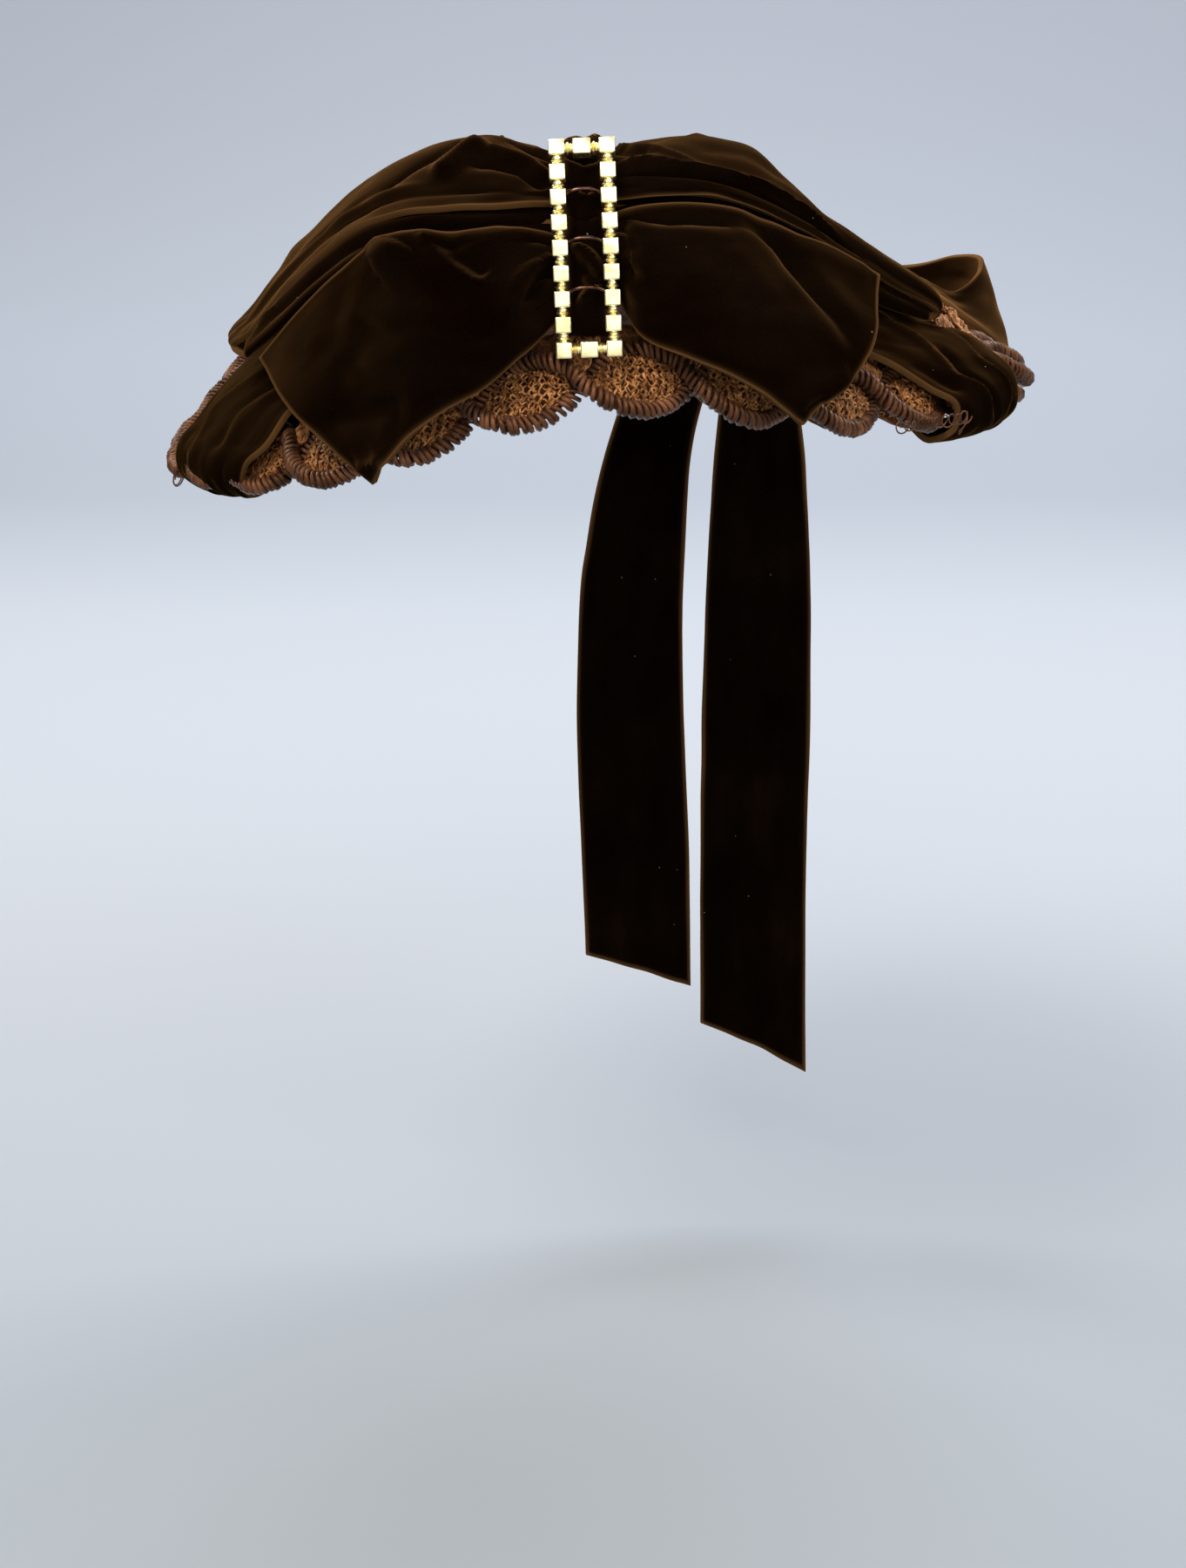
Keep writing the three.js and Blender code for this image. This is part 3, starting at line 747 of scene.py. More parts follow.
@dataclass(frozen=True)
class Metal:
    """A plain metal with faint wear."""

    name: str
    bright: str
    dull: str
    roughness: float

    def build(self) -> bpy.types.Material:
        """Builds the finish.

        Returns:
            The material.
        """
        bench = Bench(self.name)
        bench.set(Metallic=1.0)
        places = bench.stretch("Object", (1.0, 1.0, 1.0))
        wear = bench.noise(places, 420.0, 4.0)
        bench.paint("Base Color", bench.ramp(wear, (0.35, self.dull), (0.6, self.bright)))
        rough = bench.times(bench.noise(places, 900.0, 3.0), 0.16)
        bench.paint("Roughness", bench.plus(rough, self.roughness - 0.08))
        bench.relief(bench.noise(places, 1600.0, 2.0), 0.02, 0.35)
        return bench.material


class FoldShape(Enum):
    """How a fold rises from the ribbon."""

    ROUND = "round"
    SHARP = "sharp"


@dataclass(frozen=True)
class Fold:
    """A fold pressed into a ribbon along a line of (along, across) shares."""

    line: tuple[tuple[float, float], ...]
    height: float
    width: float
    shape: FoldShape = FoldShape.ROUND

    def relief(self, along: Array, across: Array) -> Array:
        """Height that the fold adds.

        Args:
            along: distance along the ribbon at each corner, as millimetres over its length.
            across: distance across it at each corner, in millimetres.

        Returns:
            The added height at each corner.
        """
        width = across[0, -1]
        rows = np.linspace(0.0, 1.0, len(along))
        stops = np.array([(np.interp(a, rows, along[:, 0]), b * width) for a, b in self.line])
        best = np.full(along.shape, np.inf)
        place = np.zeros(along.shape)
        pieces = len(stops) - 1
        for index in range(pieces):
            start, run = stops[index], stops[index + 1] - stops[index]
            size = max(float(run @ run), 1e-9)
            dx, dy = along - start[0], across - start[1]
            share = np.clip((dx * run[0] + dy * run[1]) / size, 0.0, 1.0)
            away = np.hypot(dx - share * run[0], dy - share * run[1])
            closer = away < best
            best = np.where(closer, away, best)
            place = np.where(closer, (index + share) / pieces, place)
        fade = np.clip(np.minimum(place, 1.0 - place) * 5.0 + 0.25, 0.0, 1.0)
        if self.shape is FoldShape.ROUND:
            profile = np.exp(-((best / self.width) ** 2))
        else:
            profile = np.exp(-best / self.width)
        return self.height * profile * fade


@dataclass(frozen=True)
class Gathers:
    """Small pleats that leave one end of a ribbon and die out along it."""

    count: float
    height: float
    reach: float
    at_end: bool = False
    drift: float = 0.0

    def relief(self, along: Array, across: Array) -> Array:
        """Height that the gathers add.

        Args:
            along: distance along the ribbon at each corner.
            across: distance across it at each corner.

        Returns:
            The added height at each corner.
        """
        away = along[-1, :] - along if self.at_end else along
        share = across / np.maximum(across[:, -1:], 1e-6)
        phase = self.count * (share + self.drift * np.sin(3.0 * share + along / 17.0))
        waves = np.abs(np.sin(np.pi * phase)) ** 0.7 - 0.6
        edges = np.clip(np.minimum(share, 1.0 - share) * 9.0, 0.0, 1.0)
        return self.height * waves * np.exp(-((away / self.reach) ** 1.4)) * edges


@dataclass
class Ribbon:
    """One length of velvet: the node it stands for, its sections, and what is pressed into it."""

    node: str
    sections: Table
    held: str
    step: float = 0.78
    wall: float = 1.3
    folds: tuple[Fold, ...] = ()
    gathers: tuple[Gathers, ...] = ()
    ripple: float = 0.25
    # How strong the painted sheen is on this piece.
    painted_sheen_gain: float = 1.0
    nodes: tuple[str, ...] | None = None
    flat: tuple[float, float] = field(init=False, default=(0.0, 0.0))
    edge_highlight: Array | None = field(init=False, default=None)

    def middle(self) -> tuple[Array, Array, Array]:
        """The ribbon's middle surface with its folds.

        Returns:
            Its corners, and the distance of each along and across the ribbon.
        """
        sections = np.array(self.sections, float)
        rough = smooth_curve(np.stack([smooth_curve(row, 24) for row in sections]), 60)
        length = np.linalg.norm(np.diff(rough[:, 12], axis=0), axis=1).sum()
        width = max(np.linalg.norm(np.diff(row, axis=0), axis=1).sum() for row in rough)
        rows, columns = max(6, round(length / self.step)), max(6, round(width / self.step))
        places = smooth_curve(np.stack([smooth_curve(row, columns) for row in sections]), rows)
        along = np.zeros(places.shape[:2])
        along[1:] = np.cumsum(np.linalg.norm(np.diff(places, axis=0), axis=2), axis=0)
        across = np.zeros(places.shape[:2])
        across[:, 1:] = np.cumsum(np.linalg.norm(np.diff(places, axis=1), axis=2), axis=1)
        lengthwise = np.gradient(places, axis=0)
        crosswise = np.gradient(places, axis=1)
        normal = unit(np.cross(lengthwise, crosswise))
        even_along = np.broadcast_to(along[:, columns // 2 : columns // 2 + 1], along.shape)
        even_across = np.broadcast_to(np.linspace(0.0, width, columns + 1), along.shape)
        height = self.ripple * soft_noise(places.shape[:2], (rows // 9 + 2, columns // 7 + 2), SEED + rows)
        for press in (*self.folds, *self.gathers):
            height = height + press.relief(even_along, even_across)
        self.flat = (max(float(across[:, -1].mean()), NARROWEST_SHEET) * MM, float(along[-1].mean()) * MM)
        # Painted highlight, strongest on the ribbon's edges and ends.
        ends = np.minimum(along, along[-1:] - along)
        self.edge_highlight = np.exp(-np.minimum(ends, np.minimum(across, across[:, -1:] - across)) / 0.32)
        return places + normal * height[..., None], along, across

    def build(self, finish: bpy.types.Material) -> bpy.types.Object:
        """Makes the ribbon as a wall of cloth with soft edges.

        Args:
            finish: the velvet.

        Returns:
            The finished piece.
        """
        places, along, across = self.middle()
        piece = grid_piece(f"velvet_{self.node}", places, np.stack([along, across], axis=-1) * MM)
        # Painted sheen strength for each corner.
        painted_sheen_gain = np.full(len(piece.data.vertices), self.painted_sheen_gain)
        # Painted edge highlight for each corner.
        edge_highlight = self.edge_highlight[grid_order(piece, places.shape)]
        for name, values in (("edge_highlight", edge_highlight), ("painted_sheen_gain", painted_sheen_gain)):
            piece.data.attributes.new(name, "FLOAT", "POINT").data.foreach_set("value", values)
        apply_modifier(piece, "SOLIDIFY", thickness=self.wall * MM, offset=0.0, use_even_offset=False)
        rounding = 0.36 * self.wall * MM
        apply_modifier(piece, "BEVEL", width=rounding, segments=2, angle_limit=math.radians(55.0))
        shade_smooth(piece)
        hand_in(piece, finish, "velvet", *((self.node,) if self.nodes is None else self.nodes))
        return piece


# Each row is a section of its ribbon, and each place in it runs across from edge to edge
LEFT_TOP_LOOP = (
    ((-6.5, -104.5, -0.8), (-6.5, -95, 7), (-6.5, -82, 5)),
    ((-20.5, -106, -1.5), (-21.3, -86, 10.6), (-20.5, -60, 4)),
    ((-34.4, -102.5, -2.4), (-35.5, -80, 7.4), (-34.5, -54, 1.5)),
    ((-45.3, -95, -5.5), (-46, -73, 1.3), (-45, -50, -4)),
    ((-55.2, -86, -12.3), (-55.2, -65, -6.7), (-54.5, -44, -9.5)),
    ((-64.6, -76, -21), (-64.6, -57, -16), (-64, -38, -17.5)),
    ((-72.3, -66, -29.8), (-73, -50, -26), (-73, -35, -27.5)),
    ((-76.8, -59, -33.3), (-78.6, -46, -32), (-78.4, -33, -33.5)),
    ((-73, -64, -34.4), (-74, -49, -33.8), (-73, -34, -34.2)),
    ((-63, -76, -24.9), (-62.5, -57, -24.5), (-62, -39, -25)),
    ((-53.4, -86, -16.4), (-53.4, -66, -17.5), (-52.5, -46, -16.5)),
    ((-42.2, -96.5, -8.6), (-42.5, -75, -10), (-42, -52, -9.5)),
    ((-26, -103.5, -5.2), (-25.5, -82, -5.5), (-25.5, -58, -4.5)),
    ((-6.5, -104.5, -4.6), (-6.5, -94, -4.4), (-6.5, -83, -2.5)),
)
RIGHT_TOP_LOOP = (
    ((3.2, -104.4, -0.4), (3.2, -103.2, 5), (3.2, -94, 7.4), (3.2, -82, 5)),
    ((11.6, -105.4, 0.6), (11.6, -104.5, 6.6), (12.2, -87, 10.2), (12, -62, 4.5)),
    ((22.4, -101.6, 0.4), (21, -100, 5.9), (21.8, -79, 10.4), (21.5, -58, 4.5)),
    ((31.8, -96, -2.2), (31.9, -94, 2.6), (32.3, -73, 8.4), (32, -54, 3)),
    ((42, -90.2, -7), (41.9, -88.5, -2.6), (39.8, -70, 1.5), (41, -51, -2)),
    ((50.6, -83.4, -12.2), (50.9, -81.5, -8.3), (47.2, -66, -5.9), (49, -48, -7)),
    ((60.6, -75.6, -18.6), (61.2, -74, -15.4), (58.5, -58, -12.9), (60, -44, -14.5)),
    ((72.4, -64.8, -25.8), (73.4, -62.5, -24.4), (72.3, -53, -23), (72, -41, -23.5)),
    ((70, -64.6, -27), (70.4, -62, -26.6), (69.6, -54, -25.8), (69, -43, -25)),
    ((59.2, -73.2, -20.8), (59.4, -69, -20), (58.5, -60, -19.2), (59, -46, -18.2)),
    ((48.7, -81.6, -14.6), (48.5, -77, -13.6), (47.5, -67, -13.4), (48.5, -50, -12.2)),
    ((41, -87.4, -9.8), (40.6, -82, -9), (40, -71, -9.2), (40.5, -54, -8)),
    ((30.8, -93, -4.8), (31.2, -87, -4.2), (31.5, -76, -4.4), (31.5, -58, -3.6)),
    ((21.4, -98.2, -2.6), (21.4, -92, -1.6), (21.3, -81, -1.2), (21, -62, 0)),
    ((3.2, -102.2, -1.8), (3.2, -97, -1), (3.2, -91, -0.6), (3.2, -84, 0.2)),
)
LEFT_TAIL = (
    ((-6.5, -107, -7), (-6.2, -109.4, -15), (-5.8, -110.6, -23)),
    ((-9.8, -107.6, -6), (-9.4, -110.6, -15.6), (-8.8, -111.6, -24.8)),
    ((-15.8, -109.4, -5.4), (-15, -115, -17.5), (-14, -115.2, -29.3)),
    ((-26, -108.5, -6.3), (-24.2, -116, -21.5), (-21.4, -115, -35.7)),
    ((-39, -104, -7), (-34.8, -112.8, -23), (-29.2, -113.6, -40.3)),
    ((-50.3, -97, -14.7), (-44, -107.5, -29.5), (-36.1, -112, -45.6)),
    ((-59.8, -88, -23.5), (-51.2, -101.5, -36.8), (-40.1, -110.6, -50.5)),
    ((-68.7, -78, -33.8), (-59.5, -96.5, -43.8), (-43.3, -107.5, -55.3)),
)
RIGHT_TAIL = (
    ((3.2, -106.6, -3), (3.6, -109.2, -10), (3.9, -110.4, -17.5)),
    ((6.6, -106.8, -1.6), (6.6, -110.2, -11), (6.2, -111, -20.6)),
    ((11.8, -107, -0.8), (11.2, -113.6, -12.5), (10.2, -115.6, -26)),
    ((20.4, -103.6, -0.9), (19.8, -113.2, -14.5), (18.4, -116.2, -29.5)),
    ((30.6, -99.5, -2.7), (29.4, -110.6, -17), (27.2, -114.8, -33.3)),
    ((41.4, -93.5, -8.1), (39.2, -107, -21.5), (33.5, -114, -37.1)),
    ((49.8, -88, -11.9), (47.8, -103.5, -26), (38, -112.4, -40.7)),
    ((57.8, -85, -16.5), (55, -99.5, -30.5), (41.2, -110.5, -43.3)),
)
LEFT_SIDE_BAND = (
    ((-32, -84, -29.4), (-39, -66, -26.8), (-46, -42, -18.6)),
    ((-45, -80, -35.4), (-54, -58, -32.6), (-64, -32, -29.4)),
    ((-55, -80, -39.4), (-66, -56, -39), (-76, -14, -38.4)),
    (beside(-42, -8.5, 4.6), beside(-64, -9, 4.8), beside(-86, -10.5, 4.4)),
    (beside(-43.5, 0, 5), beside(-58, 0, 5.2), beside(-73, -3, 5)),
    (beside(-46, 4.4, 4.8), beside(-57, 4.2, 5), beside(-68.5, 3.2, 5)),
    (beside(-48, 7, 0.8), beside(-58, 6.8, 0.6), beside(-67.5, 6.6, 0.8)),
    (beside(-50, 6, -5), beside(-57.5, 5.8, -5.2), beside(-65.5, 5.6, -5)),
    (beside(-49, 1.2, -7.6), beside(-56, 1.2, -8), beside(-64, 1.2, -7.6)),
)
RIGHT_SIDE_BAND = (
    ((32, -85, -23.2), (38, -73, -21.8), (44, -58, -19)),
    ((44, -85, -27.2), (51, -72, -25), (58, -54, -22.6)),
    ((54.6, -86, -31.6), (62.5, -71, -29.2), (70, -50, -28.2)),
    (beside(38, -6, 4.4), beside(54, -8, 4.4), beside(67, -9.5, 4.4)),
    (beside(43, 1, 4.8), beside(55.5, -1, 5.2), beside(64.5, -2.5, 5.2)),
    (beside(46, 6, 4.8), beside(56, 5.5, 5.2), beside(63, 5, 5.2)),
    (beside(47, 9.6, 0.6), beside(56, 9.9, 0.4), beside(62, 9.4, 0.6)),
    (beside(46.5, 7.6, -5.6), beside(55, 7.8, -5.8), beside(62.5, 7.6, -5.6)),
    (beside(46, 1.5, -7.6), beside(54, 1.5, -8), beside(61, 1.5, -7.6)),
)
CENTRE_KNOT = (
    ((-5.9, -77, -19), (2.7, -77, -19)),
    ((-5.9, -77.5, -7), (2.6, -77.5, -7)),
    ((-6, -79, 2), (2.5, -79, 2)),
    ((-6, -84, 7.2), (2.4, -84, 7.2)),
    ((-6, -92, 9.2), (2.4, -92, 9.2)),
    ((-6, -99.5, 8.8), (2.4, -99.5, 8.8)),
    ((-6, -104.4, 5.2), (2.4, -104.4, 5.2)),
    ((-5.9, -104.9, 0.8), (2.5, -104.9, 0.8)),
    ((-5.8, -107.8, -3.2), (2.6, -107.8, -3.2)),
    ((-5.7, -107.3, -7.4), (2.8, -107.3, -7.4)),
    ((-5.6, -109.8, -11.8), (3, -109.8, -11.8)),
    ((-5.4, -109, -16.4), (3.2, -109, -16.4)),
    ((-5.2, -111, -20.6), (3.4, -111, -20.6)),
    ((-5, -109.4, -24.8), (3.5, -109.4, -24.8)),
    ((-5, -103.5, -25), (3.5, -103.5, -25)),
    ((-5, -97, -24), (3.5, -97, -24)),
)
BACK_KNOT = (
    ((32.8, 89.9, -38.3), (47.3, 84.4, -37.1)),
    ((33.3, 94, -32.6), (47.8, 89, -31.6)),
    ((34.5, 101.5, -29), (49, 96.5, -28)),
    ((35.8, 108.5, -30.4), (50.3, 103.5, -29.4)),
    ((37, 114.6, -36.5), (51.5, 109.6, -35.5)),
    ((37.4, 117.4, -45), (51.9, 112.4, -44)),
    ((37, 117.8, -51.5), (51.5, 112.8, -50.5)),
)
BACK_LOOP_RIGHT = (
    ((50, 96.6, -28.6), (51.5, 103.6, -30.2), (52.6, 109, -35.6)),
    ((63, 90, -28.5), (66.5, 94.5, -34.5), (68, 97.5, -46)),
    ((80.9, 75, -27), (84.2, 78, -33.5), (86, 80, -46)),
    ((91.2, 56, -22.8), (94.6, 58.6, -30.5), (97.5, 60.5, -45.6)),
    ((95.6, 43, -22.6), (98.8, 44, -31), (102.8, 44.5, -45.4)),
    ((94.2, 37, -25.6), (97, 35.5, -32.4), (101.4, 34, -44.8)),
    ((87.5, 31.5, -30), (89, 27.5, -33), (91, 23, -36)),
    ((80, 38, -27), (81, 33, -28.6), (82, 27.5, -30)),
)
BACK_LOOP_LEFT = (
    ((33.5, 100.4, -29.2), (34.9, 107.9, -30.6), (36.1, 114, -36.4)),
    ((18, 99, -29), (17, 108, -31.5), (17, 117, -40.5)),
    ((2, 98, -28), (0.5, 108.5, -32), (0, 118.5, -43)),
    ((-13, 96, -32), (-15, 106.5, -36.5), (-15.5, 116.5, -46.5)),
    ((-19, 94.5, -38), (-21, 105, -42.5), (-21.5, 114.5, -50)),
)
LEFT_TIE = (
    ((28.5, 113.2, -40.2), (33.2, 113.4, -40.2), (38.6, 112, -39.8)),
    ((17.5, 118.5, -47), (27, 120.8, -47.5), (36.6, 118, -47)),
    ((4.5, 119.5, -78), (16.5, 121.5, -78), (28, 119, -77)),
    ((-2.5, 118, -112), (11, 122.5, -112), (25.5, 119, -111)),
    ((-4.5, 119, -150), (10.5, 117.5, -150), (25.5, 121, -150)),
    ((-3.5, 121, -192), (12, 120, -193), (27.5, 118, -194)),
    ((-2, 119.5, -228), (13.5, 121.5, -233), (28.5, 121, -238)),
)
RIGHT_TIE = (
    ((40.2, 112.6, -41), (45, 111, -40.6), (49.8, 109.4, -40.2)),
    ((37.8, 120, -47), (45.8, 117.4, -47.5), (52.8, 115, -47)),
    ((34, 119.5, -80), (46, 121.5, -80), (58, 115.5, -79)),
    ((32, 120.5, -118), (46, 117.5, -118), (61, 118.5, -118)),
    ((31, 118.5, -160), (46, 122, -160), (61.5, 117.5, -160)),
    ((31, 119.5, -208), (46.5, 118, -208), (61.5, 120.5, -208)),
    ((31.5, 120, -249), (47, 121.5, -256), (62.3, 118, -263.5)),
)


def fold(height: float, width: float, *line: tuple[float, float]) -> Fold:
    """A round fold through the given (along, across) shares."""
    return Fold(line, height, width)


def crease(height: float, width: float, *line: tuple[float, float]) -> Fold:
    """A sharp fold through the given (along, across) shares."""
    return Fold(line, height, width, FoldShape.SHARP)


# The folds inside the two upper loops, from the knot outwards, each section from top to bottom
LEFT_INNER_FOLD = (
    ((-5, -97.3, -2), (-5, -100.5, -1.6), (-5, -103.2, -3.4), (-5, -104.4, -6.4), (-5, -101, -7.4)),
    ((-20, -98.4, -2.4), (-20, -101.6, -2), (-20.4, -104.6, -4.2), (-21, -104.8, -7.4), (-21, -101.4, -8.4)),
    (
        (-34, -95.4, -3.2), (-34, -98.6, -2.8), (-34.8, -101.6, -5.4),
        (-35.6, -101.6, -9), (-35.6, -98.2, -10),
    ),
    (
        (-44.4, -88.4, -5.4), (-44.6, -92, -5.4), (-45.8, -94.4, -8.6),
        (-47, -94.6, -12.6), (-47, -91.2, -13.6),
    ),
    (
        (-53.6, -80, -11.6), (-54, -83.8, -11.6), (-55.8, -85.4, -15.6),
        (-57.2, -86, -19.8), (-57.2, -82.6, -20.8),
    ),
    (
        (-62.4, -70.4, -20.2), (-63, -74.2, -20.3), (-65, -75.2, -24),
        (-66.4, -75.6, -28), (-66.4, -72.2, -29),
    ),
    (
        (-72.2, -60.2, -30.6), (-72.2, -63.4, -30.2), (-73, -64.4, -32),
        (-73.6, -64.8, -34.2), (-73.6, -61.4, -35.2),
    ),
)
RIGHT_INNER_FOLD = (
    ((3, -95.8, -1), (3, -99, -0.6), (3, -101.4, -2), (3, -102.6, -4.2), (3, -99.2, -5.2)),
    ((14, -97.4, -0.6), (14, -100.6, -0.2), (14, -103, -2), (14, -103, -4.6), (14, -99.6, -5.6)),
    ((28, -92.4, -2.2), (28, -95.6, -1.8), (28.2, -97.8, -4), (28.4, -97.8, -7), (28.4, -94.4, -8)),
    ((41, -84.4, -7.6), (41, -87.6, -7.2), (41.2, -90, -9), (41.4, -89.6, -12), (41.4, -86.2, -13)),
    ((50, -77.8, -13), (50, -81, -12.6), (50.4, -83.4, -14.4), (50.4, -82.6, -17), (50.4, -79.2, -18)),
    ((60, -70, -19.2), (60, -73.2, -18.8), (60.4, -75.4, -20.2), (60.4, -74.6, -22.4), (60.4, -71.2, -23.4)),
    ((70.8, -61, -25.6), (70.9, -63.6, -25.5), (71, -64.4, -26.2), (71, -64.2, -26.8), (70.9, -61.6, -27.2)),
)


